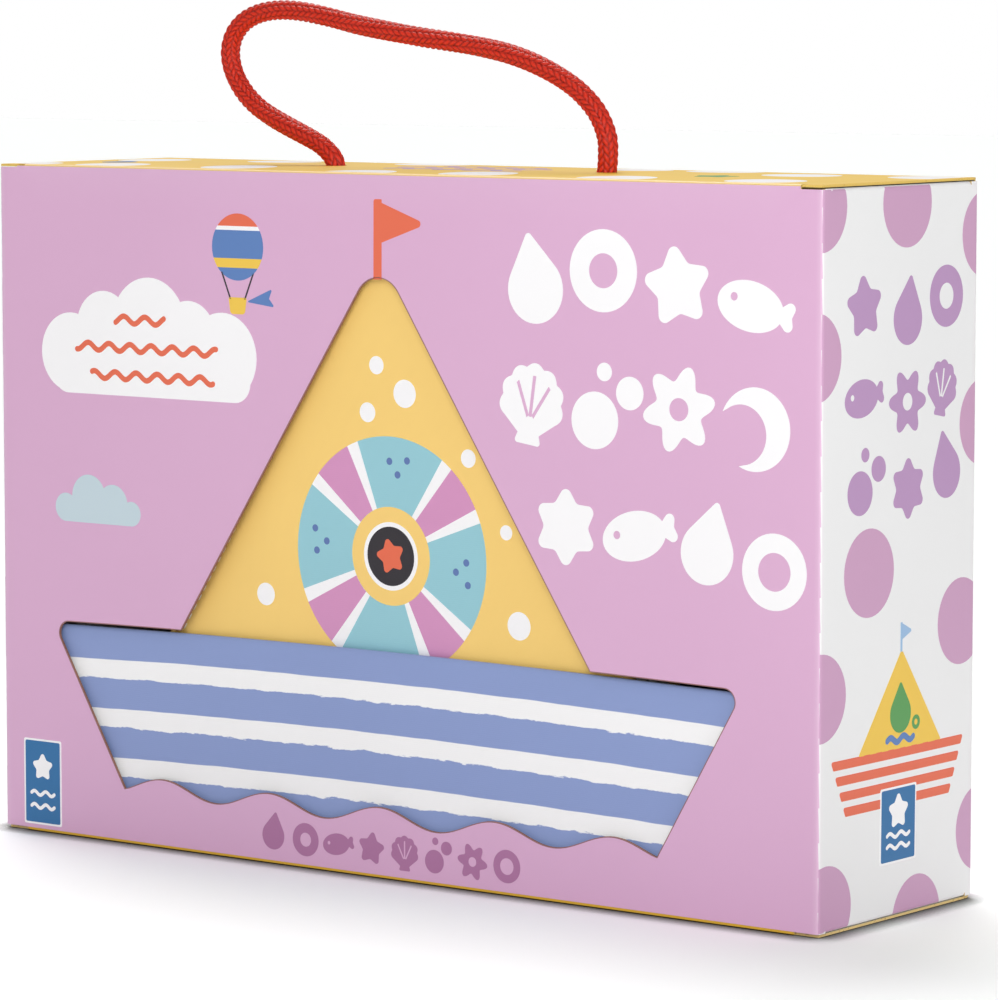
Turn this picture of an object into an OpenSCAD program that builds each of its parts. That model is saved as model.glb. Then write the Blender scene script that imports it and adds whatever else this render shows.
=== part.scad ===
// Boxed boat bath book: a tuck-end carry carton with a rope handle and a boat-shaped opening,
// a padded cloth boat inside it, and a sail-shaped cloth book that stands in the boat's pocket.
// X runs to the right, Y to the back and Z up, from the middle of the carton's base.

/* [Carton] */
// Width of the carton
box_w = 250; // [240:1:280]
// Depth of the carton, front to back
box_d = 65; // [58:1:80]
// Height of the carton
box_h = 170; // [166:1:200]
// Thickness of the board
board = 0.6; // [0.4:0.1:1]
// Gap where one board folds over another
fold_gap = 0.3; // [0.2:0.1:0.5]
// Width of the glue flap behind the back wall
glue_flap_w = 12; // [8:1:20]
// Length of each dust flap, in from the side wall
dust_flap_l = 45; // [30:1:60]
// Slant of a dust flap's free end
dust_flap_taper = 6; // [0:1:12]
// Room between the dust flaps and the board in front of and behind them
dust_flap_room = 2; // [1.5:0.5:4]
// Drop of the front wall's cut edge below the lid's face
front_drop = 0.4; // [0.2:0.1:1]
// Gap at each end of the lid
lid_end_gap = 0.3; // [0.2:0.1:1]

/* [Tuck flaps] */
// Depth of the lid's tuck flap
tuck_l = 13; // [9:0.5:14]
// Inset of the tuck flap's ends from the carton's sides
tuck_inset = 7; // [5:1:15]
// Radius of the tuck flap's lower corners
tuck_corner_r = 8; // [4:1:9]
// Running room between the tuck flap and the front wall
tuck_room = 0.8; // [0.7:0.1:1.2]
// Depth of the bottom's glued tuck flap
bottom_tuck_l = 12; // [6:1:12.5]
// Length of the lock slit at each end of the lid's front edge
slit_l = 6; // [3:0.5:10]
// Height of the lock slit
slit_h = 0.8; // [0.4:0.1:1.5]
// Inset of the lid's ears from the carton's front face
ear_inset = 0.2; // [0.1:0.1:0.5]

/* [Boat-shaped opening] */
// Distance of the opening's middle from the carton's middle
open_x = -2; // [-4:0.5:4]
// Height of the hull's upper corners above the base
open_top_z = 54.7; // [52:0.1:57]
// Height of the hull's lower tips above the base
open_tip_z = 13.9; // [13:0.1:16]
// Width of the hull at its upper corners, before they are rounded
open_top_w = 212; // [200:1:214]
// Width of the hull at its lower tips
open_tip_w = 164.3; // [155:0.1:170]
// Radius of the hull's upper corners
open_corner_r = 3; // [1:0.5:6]
// Rise of the hull's upper edge in the middle
open_arch = 1.3; // [0.5:0.1:3]
// Length of one wave in the hull's lower edge
wave_l = 34.8; // [25:0.1:45]
// Height of the waves, from the middle line to a crest
wave_h = 2.15; // [1:0.05:3]
// Height of the waves' middle line above the base
wave_z = 15.3; // [15:0.1:18]
// Width of the sail at its foot
sail_foot_w = 126; // [110:1:134]
// Height of the sail above its foot, before its top is rounded
sail_rise = 95.4; // [80:0.1:98]
// Radius of the sail's top
sail_top_r = 7.2; // [3:0.1:10]

/* [Boat] */
// Reach of the boat beyond the opening at its ends
boat_reach = 6; // [4:0.5:8]
// Drop of the boat's rim below the opening's upper edge
boat_drop = 1.1; // [0.5:0.1:2]
// Thickness of the boat's padded sides
side_t = 2.5; // [2:0.5:6]
// Thickness of the gusset that joins the two sides
gusset_t = 3; // [2:0.5:4]
// Radius of the boat's upper corners
boat_corner_r = 4; // [2:0.5:8]
// Radius of the boat's lower corners
boat_bilge_r = 9; // [5:1:12]
// Clearance between the boat and the glued flaps in front of and behind it
boat_room = 0.4; // [0.3:0.1:0.8]
// Thickness of the foam float in the boat's floor
float_t = 15; // [11:1:18]
// Radius of the float's upper corners
float_corner_r = 2; // [1:0.5:4]
// Clearance round the loose cloth pieces
cloth_room = 0.3; // [0.2:0.1:0.5]

/* [Bath book] */
// Reach of the book beyond the sail opening
book_reach = 6; // [4:0.5:7]
// Thickness of each padded cover
cover_t = 3.5; // [2:0.5:5]
// Thickness of the block of cloth pages
pages_t = 11; // [4:1:16]
// Radius of the book's top
book_top_r = 10; // [6:1:14]
// Radius of the book's lower corners
book_corner_r = 12; // [8:1:16]
// Thickness of the spine strip
spine_t = 1.5; // [1:0.5:3]
// Height of the spine strip's lower end above the base
spine_low = 50; // [45:1:60]
// Height of the spine strip's upper end above the base
spine_high = 130; // [110:1:140]
// Height of the pocket's rim above the base
pocket_top_z = 49; // [40:1:50]
// Thickness of the pocket
pocket_t = 1.5; // [1:0.5:2.5]

/* [Rope handle] */
// Diameter of the rope
rope_d = 4.6; // [4:0.1:5]
// Distance between the two rope holes
rope_span = 83; // [83:1:83]
// Play of the rope in its holes, on the diameter
rope_play = 0.8; // [0.4:0.1:1.5]
// Diameter of the knots
knot_d = 13; // [10:0.5:14]
// Height of the knots
knot_h = 12; // [9:0.5:14]

/* [Hidden] */
$fn = 48;

front_y = -box_d / 2;
back_y = box_d / 2;
front_in = front_y + board;
back_in = back_y - board;
wall_low = board + fold_gap;
wall_top = box_h - board - fold_gap;
lid_front = front_in + tuck_room;
floor_z = wall_low + board;
// How far a glued flap runs into the wall it is glued to
glue_merge = board / 2;
cut = 1;

open_slope = (open_top_w - open_tip_w) / 2 / (open_top_z - open_tip_z);
open_slant = sqrt(1 + open_slope * open_slope);
sail_slope = sail_foot_w / 2 / sail_rise;
sail_slant = sqrt(1 + sail_slope * sail_slope);
sail_foot_z = open_arch_z(sail_foot_w / 2);

boat_y0 = front_in + board + boat_room;
boat_y1 = back_in - board - boat_room;
boat_top = open_top_z - boat_drop;
boat_inner_y0 = boat_y0 + side_t;
boat_inner_y1 = boat_y1 - side_t;
float_top = floor_z + gusset_t + float_t;

book_t = 2 * cover_t + pages_t;
book_foot = float_top + cloth_room;
book_peak = sail_foot_z + sail_rise + book_reach * sail_slant / sail_slope;
book_top_z = book_peak - book_top_r * (sail_slant / sail_slope - 1);
// The book stands behind the boat's rim and leans over it, with its top behind the tuck flap
boat_rim_z = open_top_z + open_arch - boat_drop;
book_lean = atan((boat_inner_y0 - lid_front - board) / (book_top_z - boat_rim_z));
book_foot_y = boat_inner_y0 + cloth_room + (boat_rim_z - book_foot) * tan(book_lean);
book_foot_angle = atan(1 / sail_slope);
book_half = book_half_at(book_foot)
    - book_corner_r * (1 / tan(book_foot_angle / 2) - 1);

rope_top_of_knot = -board - fold_gap;
rope_sides = 10;
rope_route = [[-41.5, 0, -0.9], [-41.8, 0, 1], [-43.2, 0, 3], [-46.5, 0, 5.4], [-51.5, 0, 7.6],
    [-57, 0, 9.8], [-62.5, 0, 12.2], [-67.5, 0, 15], [-71.8, 0, 18.8], [-74.8, 0, 23.4],
    [-75.8, 0, 28.2], [-74.4, 0, 32.6], [-70.8, 0, 36], [-65.5, 0, 38], [-59, 0, 38.7],
    [-52, 0, 38.3], [-44, 0, 37], [-35, 0, 35.2], [-25, 0, 33.6], [-15, 0, 32.2],
    [-5, 0, 31], [4, 0, 29.8], [12.5, 0, 28.2], [20.5, 0, 25.8], [28, 0, 22.6],
    [34, 0, 19], [38.8, 0, 14.4], [41.6, 0, 9], [42, 0, 4], [41.5, 0, -0.9]];

function open_half(z) = open_tip_w / 2 + (z - open_tip_z) * open_slope;
function open_arch_z(x) = open_top_z + open_arch * (1 - pow(x / (open_top_w / 2), 2));
function wave_at(x) = wave_z + wave_h * cos(360 * x / wave_l);
function boat_half(z, inset) = open_half(z) + (boat_reach - inset) * open_slant;
function book_half_at(z) = (book_peak - z) * sail_slope;

// A corner of an outline, rounded by radius r: points along the arc from a's side to c's side
function corner(a, b, c, r) =
    r <= 0 ? [b] :
    let(u = (a - b) / norm(a - b),
        v = (c - b) / norm(c - b),
        half = acos(u * v) / 2,
        middle = b + (u + v) / norm(u + v) * r / sin(half),
        from = b + u * r / tan(half) - middle,
        to = b + v * r / tan(half) - middle,
        turn = 180 - 2 * half,
        steps = ceil(turn / 12))
    [for (i = [0 : steps])
        middle + (from * sin(turn * (1 - i / steps)) + to * sin(turn * i / steps)) / sin(turn)];

// An outline whose points are [across, up, radius of the corner there]
function rounded(p) =
    let(n = len(p), flat = [for (q = p) [q[0], q[1]]])
    [for (i = [0 : n - 1]) each corner(flat[(i + n - 1) % n], flat[i], flat[(i + 1) % n], p[i][2])];

// A plate of thickness t that stands upright, from y to y + t, with its outline in X and Z
module upright(y, t) {
    translate([0, y + t, 0]) rotate([90, 0, 0]) linear_extrude(t) children();
}

module open_outline() {
    corner_x = open_top_w / 2;
    half_foot = sail_foot_w / 2;
    half_tip = open_tip_w / 2;
    arch_x = [for (share = [0.2 : 0.2 : 0.8]) half_foot + (corner_x - half_foot) * share];
    wave_step = wave_l / 12;
    translate([open_x, 0]) polygon(rounded(concat(
        [[-corner_x, open_top_z, open_corner_r]],
        [for (i = [len(arch_x) - 1 : -1 : 0]) [-arch_x[i], open_arch_z(arch_x[i]), 0]],
        [[-half_foot, sail_foot_z, 0], [0, sail_foot_z + sail_rise, sail_top_r],
         [half_foot, sail_foot_z, 0]],
        [for (x = arch_x) [x, open_arch_z(x), 0]],
        [[corner_x, open_top_z, open_corner_r], [half_tip, wave_at(half_tip), 0]],
        [for (x = [half_tip - wave_step : -wave_step : wave_step / 2 - half_tip])
            [x, wave_at(x), 0]],
        [[-half_tip, wave_at(half_tip), 0]])));
}

// The boat seen from the front, drawn in by inset at its ends and its floor
module boat_outline(inset, rim_lift) {
    low = floor_z + inset;
    rim = boat_top + rim_lift;
    arch_x = [for (share = [-0.8 : 0.2 : 0.8]) share * open_top_w / 2];
    translate([open_x, 0]) polygon(rounded(concat(
        [[-boat_half(rim, inset), rim, rim_lift > 0 ? 0 : boat_corner_r]],
        [for (x = arch_x) [x, open_arch_z(x) - boat_drop + rim_lift, 0]],
        [[boat_half(rim, inset), rim, rim_lift > 0 ? 0 : boat_corner_r],
         [boat_half(low, inset), low, boat_bilge_r - inset],
         [-boat_half(low, inset), low, boat_bilge_r - inset]])));
}

module book_outline() {
    foot = book_half_at(book_foot);
    translate([open_x, 0]) polygon(rounded([
        [-foot, book_foot, book_corner_r],
        [0, book_peak, book_top_r],
        [foot, book_foot, book_corner_r]]));
}

// The strip along the book's left edge that the spine takes up
module spine_zone() {
    inward = spine_t * sail_slant;
    outward = spine_t;
    translate([open_x, 0]) polygon([
        [-book_half_at(spine_low) - outward, spine_low],
        [-book_half_at(spine_high) - outward, spine_high],
        [-book_half_at(spine_high) + inward, spine_high],
        [-book_half_at(spine_low) + inward, spine_low]]);
}

// A dust flap's plan: its root along x = 0, its free end drawn in at both corners
module dust_flap_plan(y0, y1) {
    polygon([[0, y0], [dust_flap_l, y0 + dust_flap_taper],
        [dust_flap_l, y1 - dust_flap_taper], [0, y1]]);
}

module dust_flaps(z, y0) {
    for (side = [0, 1]) mirror([side, 0, 0])
        translate([-box_w / 2 + board / 2, 0, z]) linear_extrude(board)
            dust_flap_plan(y0, back_in - board - dust_flap_room);
}

module carton_walls() {
    difference() {
        translate([-box_w / 2, front_y, wall_low])
            cube([box_w, board, box_h - front_drop - wall_low]);
        upright(front_y - cut, board + 2 * cut) open_outline();
        for (side = [0, 1]) mirror([side, 0, 0])
            translate([box_w / 2 - slit_l, front_y - cut, box_h - front_drop - slit_h])
                cube([slit_l + cut, board + 2 * cut, slit_h + cut]);
    }
    for (side = [0, 1]) mirror([side, 0, 0])
        translate([box_w / 2 - board, front_y, wall_low])
            cube([board, box_d, wall_top - wall_low]);
    translate([-box_w / 2, back_in, 0]) cube([box_w, board, wall_top]);
    translate([-box_w / 2, back_in - board, wall_low])
        cube([board + glue_flap_w, board + glue_merge, wall_top - wall_low]);
}

module carton_bottom() {
    translate([lid_end_gap - box_w / 2, front_in, 0])
        cube([box_w - 2 * lid_end_gap, box_d - board, board]);
    translate([tuck_inset - box_w / 2, front_in - glue_merge, 0])
        cube([box_w - 2 * tuck_inset, board + glue_merge, bottom_tuck_l]);
    dust_flaps(wall_low, front_in + board + dust_flap_room);
}

module carton() {
    color([0.86, 0.69, 0.82]) union() {
        carton_walls();
        carton_bottom();
        dust_flaps(wall_top - board, lid_front + board + dust_flap_room);
    }
}

// The lid reaches over the front wall's notches with a small ear at each end of its crease
module lid_panel() {
    half = box_w / 2 - lid_end_gap;
    ear_x = box_w / 2 - slit_l + lid_end_gap;
    ear_y = front_y + ear_inset;
    color([0.95, 0.78, 0.33]) difference() {
        translate([0, 0, box_h - board]) linear_extrude(board) polygon([
            [-half, back_y], [-half, ear_y], [-ear_x, ear_y], [-ear_x, lid_front],
            [ear_x, lid_front], [ear_x, ear_y], [half, ear_y], [half, back_y]]);
        for (side = [-1, 1]) translate([side * rope_span / 2, 0, box_h - board - cut])
            cylinder(h = board + 2 * cut, d = rope_d + rope_play);
    }
}

module tuck_flap() {
    half = box_w / 2 - tuck_inset;
    low = wall_top - tuck_l;
    color([0.95, 0.78, 0.33]) upright(lid_front, board) polygon(rounded([
        [-half, wall_top, 0], [half, wall_top, 0],
        [half, low, tuck_corner_r], [-half, low, tuck_corner_r]]));
}

function unit(v) = v / norm(v);
function route_way(p, i) = unit(p[min(i + 1, len(p) - 1)] - p[max(i - 1, 0)]);

// A tube of diameter d along the points p, which lie in a plane of constant Y
module tube(p, d, sides) {
    n = len(p);
    rings = [for (i = [0 : n - 1])
        let(way = (i == 0 || i == n - 1) ? [0, 0, i == 0 ? 1 : -1] : route_way(p, i),
            out = cross(way, [0, 1, 0]))
        [for (k = [0 : sides - 1])
            p[i] + d / 2 * (cos(360 * k / sides) * out + sin(360 * k / sides) * [0, 1, 0])]];
    polyhedron(
        points = [for (ring = rings) each ring],
        faces = concat(
            [[for (k = [0 : sides - 1]) k]],
            [for (i = [0 : n - 2], k = [0 : sides - 1])
                let(a = i * sides + k, b = i * sides + (k + 1) % sides)
                [a, a + sides, b + sides, b]],
            [[for (k = [sides - 1 : -1 : 0]) (n - 1) * sides + k]]));
}

module rope_handle() {
    color([0.8, 0.19, 0.12]) translate([0, 0, box_h]) tube(rope_route, rope_d, rope_sides);
}

// An overhand knot's outer form, round about the rope, hanging below the lid
module knot(side) {
    r = knot_d / 2;
    bulge = knot_h / 2;
    neck = rope_d / 2;
    lean = acos(neck / r);
    color([0.8, 0.19, 0.12])
        translate([side * rope_span / 2, 0, box_h + rope_top_of_knot - bulge])
            rotate_extrude() polygon(concat([[0, -bulge]],
                [for (i = [-6 : 6]) let(a = lean * i / 6) [r * cos(a), bulge * sin(a) / sin(lean)]],
                [[0, bulge]]));
}
module knot_left() { knot(-1); }
module knot_right() { knot(1); }

module boat_front() {
    color([0.55, 0.61, 0.79]) upright(boat_y0, side_t) boat_outline(0, 0);
}

module boat_back() {
    color([0.55, 0.61, 0.79]) upright(boat_inner_y1, side_t) boat_outline(0, 0);
}

module boat_gusset() {
    color([0.93, 0.93, 0.94]) difference() {
        upright(boat_inner_y0, boat_inner_y1 - boat_inner_y0) boat_outline(0, 0);
        upright(boat_inner_y0 - cut, boat_inner_y1 - boat_inner_y0 + 2 * cut)
            boat_outline(gusset_t, box_h / 4);
    }
}

// The foam block in the boat's floor, between the two sides and the gusset's slanting ends
module boat_float() {
    low = floor_z + gusset_t;
    inset = gusset_t + cloth_room;
    color([0.9, 0.88, 0.8])
        upright(boat_inner_y0 + cloth_room, boat_inner_y1 - boat_inner_y0 - 2 * cloth_room)
            translate([open_x, 0]) polygon(rounded([
                [-boat_half(float_top, inset), float_top, float_corner_r],
                [boat_half(float_top, inset), float_top, float_corner_r],
                [boat_half(low, inset), low, boat_bilge_r - gusset_t],
                [-boat_half(low, inset), low, boat_bilge_r - gusset_t]]));
}

// The pocket that holds the book up: a cloth wall behind it, sewn to the boat's front side
module sail_pocket() {
    inner = book_half + cloth_room;
    depth = book_foot_y + book_t * cos(book_lean) - boat_inner_y0 + cloth_room;
    color([0.55, 0.61, 0.79])
        translate([open_x, boat_inner_y0, book_foot])
            linear_extrude(pocket_top_z - book_foot) difference() {
                translate([-inner - pocket_t, 0])
                    square([2 * (inner + pocket_t), depth + pocket_t]);
                translate([-inner, -cut]) square([2 * inner, depth + cut]);
            }
}

// Turns what stands upright behind y = 0 to the book's place and lean
module leaning() {
    translate([0, book_foot_y, book_foot]) rotate([book_lean, 0, 0])
        translate([0, 0, -book_foot]) children();
}

// A padded layer of the book from depth y on, without the spine's strip
module book_layer(y, t) {
    leaning() upright(y, t) difference() {
        book_outline();
        spine_zone();
    }
}

module book_front_cover() {
    color([0.96, 0.82, 0.48]) book_layer(0, cover_t);
}

module book_pages() {
    color([0.95, 0.94, 0.9]) book_layer(cover_t, pages_t);
}

module book_back_cover() {
    color([0.96, 0.82, 0.48]) book_layer(cover_t + pages_t, cover_t);
}

module book_spine() {
    color([0.96, 0.82, 0.48]) leaning() upright(0, book_t) intersection() {
        book_outline();
        spine_zone();
    }
}

carton();
lid_panel();
tuck_flap();
rope_handle();
knot_left();
knot_right();
boat_front();
boat_back();
boat_gusset();
boat_float();
sail_pocket();
book_front_cover();
book_pages();
book_back_cover();
book_spine();
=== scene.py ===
import math

import bpy
import numpy as np
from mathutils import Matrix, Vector
from mathutils.geometry import delaunay_2d_cdt


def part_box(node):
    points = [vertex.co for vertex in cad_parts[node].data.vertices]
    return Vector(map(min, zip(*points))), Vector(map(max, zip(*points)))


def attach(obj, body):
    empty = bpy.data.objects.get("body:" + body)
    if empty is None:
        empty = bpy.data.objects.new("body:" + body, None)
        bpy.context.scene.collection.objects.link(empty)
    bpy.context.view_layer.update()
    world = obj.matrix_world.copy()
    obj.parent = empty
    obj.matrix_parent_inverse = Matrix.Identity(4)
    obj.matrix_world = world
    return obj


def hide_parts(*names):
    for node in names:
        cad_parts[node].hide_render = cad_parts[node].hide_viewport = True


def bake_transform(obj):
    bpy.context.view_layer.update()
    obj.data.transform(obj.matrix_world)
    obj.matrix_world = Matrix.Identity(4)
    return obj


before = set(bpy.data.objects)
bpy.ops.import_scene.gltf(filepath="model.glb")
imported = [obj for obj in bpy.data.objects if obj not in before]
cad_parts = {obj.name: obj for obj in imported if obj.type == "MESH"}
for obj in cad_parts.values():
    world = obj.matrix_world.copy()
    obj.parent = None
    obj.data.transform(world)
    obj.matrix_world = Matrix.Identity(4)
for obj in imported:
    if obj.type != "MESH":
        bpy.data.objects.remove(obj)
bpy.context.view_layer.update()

# Lengths below are in millimetres, and MM turns them into metres when a mesh is made.
MM = 0.001


def span(node_name):
    """The lowest and highest corner of a CAD node, in millimetres."""
    low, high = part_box(node_name)
    return low / MM, high / MM


# Places taken from the frame
carton_low, carton_high = span("carton")
lid_low, lid_high = span("lid_panel")
tuck_low, tuck_high = span("tuck_flap")
front_side_low, front_side_high = span("boat_front")
back_side_low, back_side_high = span("boat_back")
float_low, float_high = span("boat_float")
pocket_low, pocket_high = span("sail_pocket")
cover_low, _ = span("book_front_cover")
knot_low, knot_high = span("knot_left")

HALF_W = carton_high.x
FRONT = carton_low.y
BACK = carton_high.y
LID_TOP = lid_high.z
BOARD = lid_high.z - lid_low.z
FOLD_GAP = 0.3
WALL_LOW = BOARD + FOLD_GAP
WALL_TOP = LID_TOP - BOARD - FOLD_GAP
FLOOR_Z = front_side_low.z

# The camera, solved from the carton's corners in the photograph
CAMERA_PLACE = (727.4, -937.8, 208.8)
CAMERA_AZIMUTH = 37.44
CAMERA_ELEVATION = 5.744
CAMERA_LENS = 175.5
SENSOR = 36.0


def add_object(name, data, place=(0, 0, 0), back=None):
    """An object at a place in metres. A camera or a light looks away from the way back."""
    made = bpy.data.objects.new(name, data)
    made.location = place
    if back is not None:
        made.rotation_mode = "QUATERNION"
        made.rotation_quaternion = Vector(back).to_track_quat("Z", "Y")
    bpy.context.scene.collection.objects.link(made)
    return made


def make_camera():
    azimuth, elevation = math.radians(CAMERA_AZIMUTH), math.radians(CAMERA_ELEVATION)
    back = Vector((math.sin(azimuth) * math.cos(elevation),
                   -math.cos(azimuth) * math.cos(elevation), math.sin(elevation)))
    data = bpy.data.cameras.new("camera")
    data.lens = CAMERA_LENS
    data.sensor_width = SENSOR
    data.clip_end = 20
    bpy.context.scene.camera = add_object("camera", data, Vector(CAMERA_PLACE) * MM, back)


make_camera()


# Outlines: lists of (across, up) points. Outer loops run anticlockwise and holes clockwise.

def corner(a, b, c, r):
    """The corner b of an outline, rounded by radius r between the sides from a and to c."""
    a, b, c = (np.array(p, float) for p in (a, b, c))
    if r <= 0:
        return [b]
    u, v = (a - b) / np.linalg.norm(a - b), (c - b) / np.linalg.norm(c - b)
    half = math.acos(np.clip(u @ v, -1, 1)) / 2
    middle = b + (u + v) / np.linalg.norm(u + v) * r / math.sin(half)
    start, end = b + u * r / math.tan(half) - middle, b + v * r / math.tan(half) - middle
    turn = math.pi - 2 * half
    steps = max(3, math.ceil(turn / math.radians(7)))
    return [middle + (start * math.sin(turn * (1 - i / steps)) + end * math.sin(turn * i / steps))
            / math.sin(turn) for i in range(steps + 1)]


def rounded(points):
    """An outline from (across, up, corner radius) points."""
    flat = [p[:2] for p in points]
    n = len(points)
    return [q for i in range(n)
            for q in corner(flat[i - 1], flat[i], flat[(i + 1) % n], points[i][2])]


def area_of(loop):
    p = np.asarray(loop, float)
    q = np.roll(p, -1, axis=0)
    return 0.5 * float((p[:, 0] * q[:, 1] - q[:, 0] * p[:, 1]).sum())


def solid_loop(loop):
    return list(loop) if area_of(loop) > 0 else list(loop)[::-1]


def hole_loop(loop):
    return solid_loop(loop)[::-1]


def slab(low, high, half_low, half_high, r_low, r_high=None, x=0.0):
    """A four-sided outline between two heights, with its half widths and corner radii there."""
    r_high = r_low if r_high is None else r_high
    return solid_loop(rounded([(x - half_low, low, r_low), (x + half_low, low, r_low),
                               (x + half_high, high, r_high), (x - half_high, high, r_high)]))


def resample(loop, gap):
    """The closed loop with points no more than gap apart."""
    p = np.asarray(loop, float)
    found = []
    for a, b in zip(p, np.roll(p, -1, axis=0)):
        count = max(1, math.ceil(np.linalg.norm(b - a) / gap))
        found += [a + (b - a) * i / count for i in range(count)]
    return found


def clip(loop, low, high):
    """The part of a convex loop between the corners low and high."""
    points = [np.array(p, float) for p in loop]
    for axis, limit, sign in ((0, low[0], 1), (0, high[0], -1), (1, low[1], 1), (1, high[1], -1)):
        kept = []
        for a, b in zip(points, points[1:] + points[:1]):
            da, db = (a[axis] - limit) * sign, (b[axis] - limit) * sign
            if da >= 0:
                kept.append(a)
            if (da >= 0) != (db >= 0):
                kept.append(a + (b - a) * da / (da - db))
        points = kept
    return points


def winding(points, loops):
    """How often the loops go round each point, anticlockwise counted as one."""
    points = np.asarray(points, float)
    total = np.zeros(len(points), int)
    for loop in loops:
        a = np.asarray(loop, float)
        b = np.roll(a, -1, axis=0)
        for (ax, ay), (bx, by) in zip(a, b):
            left = (bx - ax) * (points[:, 1] - ay) - (points[:, 0] - ax) * (by - ay)
            total += (ay <= points[:, 1]) & (points[:, 1] < by) & (left > 0)
            total -= (by <= points[:, 1]) & (points[:, 1] < ay) & (left < 0)
    return total


def edge_distance(points, loops):
    """The distance from each point to the nearest loop."""
    points = np.asarray(points, float)
    best = np.full(len(points), 1e9)
    for loop in loops:
        a = np.asarray(loop, float)
        b = np.roll(a, -1, axis=0)
        for p, q in zip(a, b):
            d = q - p
            t = np.clip(((points - p) @ d) / max(d @ d, 1e-12), 0, 1)
            best = np.minimum(best, np.linalg.norm(points - p - t[:, None] * d, axis=1))
    return best


def inward_from(loop, gap):
    """Points along a closed loop, no more than gap apart, and the way inwards at each."""
    points = np.array(resample(loop, gap))
    way = np.roll(points, -1, axis=0) - np.roll(points, 1, axis=0)
    way /= np.linalg.norm(way, axis=1)[:, None]
    return points, np.stack([-way[:, 1], way[:, 0]], axis=1)


def inset_points(loops, depths, gap):
    """Points at each depth inside the loops, gap apart along them."""
    found = []
    for loop in loops:
        points, inward = inward_from(loop, gap)
        for depth in depths:
            q = points + inward * depth
            found.append(q[(winding(q, loops) > 0) & (edge_distance(q, loops) > depth * 0.97)])
    return np.concatenate(found)


def dotted(line, gap):
    """The open line with points no more than gap apart."""
    p = [np.array(q, float) for q in line]
    found = [p[0]]
    for a, b in zip(p, p[1:]):
        count = max(1, math.ceil(np.linalg.norm(b - a) / gap))
        found += [a + (b - a) * i / count for i in range(1, count + 1)]
    return found


def within(line, low, high):
    """A straight line of two points along an axis, shortened to the box from low to high."""
    return [np.clip(p, low, high) for p in line]


FAR = 400


def level_lines(v, rows, low=-FAR, high=FAR, sign=1):
    """Lines from low to high across, one at v and each row's distance up, or down for sign -1."""
    return [[(low, v + sign * row), (high, v + sign * row)] for row in rows]


def upright_lines(u, rows, low=-FAR, high=FAR, sign=1):
    return [[(u + sign * row, low), (u + sign * row, high)] for row in rows]


def fill(loops, lines=(), step=None, rings=(), gap=3.0):
    """Triangles between the loops, split along the lines, with inner points step apart
    and rows of points at the depths that rings gives."""
    points, edges = [], []
    if step:
        loops = [resample(loop, step) for loop in loops]
        low, high = np.min(np.vstack(loops), axis=0) - 1, np.max(np.vstack(loops), axis=0) + 1
        lines = [dotted(within(line, low, high), step) for line in lines]
    for loop in loops:
        first = len(points)
        points += [tuple(p) for p in loop]
        edges += [(first + i, first + (i + 1) % len(loop)) for i in range(len(loop))]
    for line in lines:
        first = len(points)
        points += [tuple(p) for p in line]
        edges += [(first + i, first + i + 1) for i in range(len(line) - 1)]
    if rings:
        points += [tuple(p) for p in inset_points(loops, rings, gap)]
    if step:
        low, high = np.min(points, axis=0), np.max(points, axis=0)
        across = np.arange(low[0] + step / 2, high[0], step)
        up = np.arange(low[1] + step / 2, high[1], step)
        grid = np.array([(x + (j % 2) * step / 2, y) for j, y in enumerate(up) for x in across])
        if len(grid):
            margin = (max(rings) if rings else 0) + step * 0.35
            keep = (winding(grid, loops) > 0) & (edge_distance(grid, loops) > margin)
            points += [tuple(p) for p in grid[keep]]
    verts, _, faces, *_ = delaunay_2d_cdt([Vector(p) for p in points], edges, [], 0, 1e-4)
    verts = np.array([tuple(v) for v in verts])
    faces = np.array(faces)
    faces = faces[winding(verts[faces].mean(axis=1), loops) > 0]
    used, faces = np.unique(faces, return_inverse=True)
    return verts[used], faces.reshape(-1, 3)


# Meshes

def new_piece(name, verts, faces, materials, indices=None, smooth_angle=35, marks=None):
    """A mesh object from millimetre points. marks gives named values for its points."""
    mesh = bpy.data.meshes.new(name)
    mesh.from_pydata([tuple(float(c) * MM for c in v) for v in verts], [],
                     [tuple(int(i) for i in f) for f in faces])
    for material in materials:
        mesh.materials.append(material)
    if indices is not None:
        mesh.polygons.foreach_set("material_index", np.asarray(indices, np.int32))
    for mark, values in (marks or {}).items():
        mesh.attributes.new(mark, "FLOAT", "POINT").data.foreach_set(
            "value", np.asarray(values, np.float32))
    mesh.polygons.foreach_set("use_smooth", [True] * len(mesh.polygons))
    mesh.set_sharp_from_angle(angle=math.radians(smooth_angle))
    mesh.update()
    return add_object(name, mesh)


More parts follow.
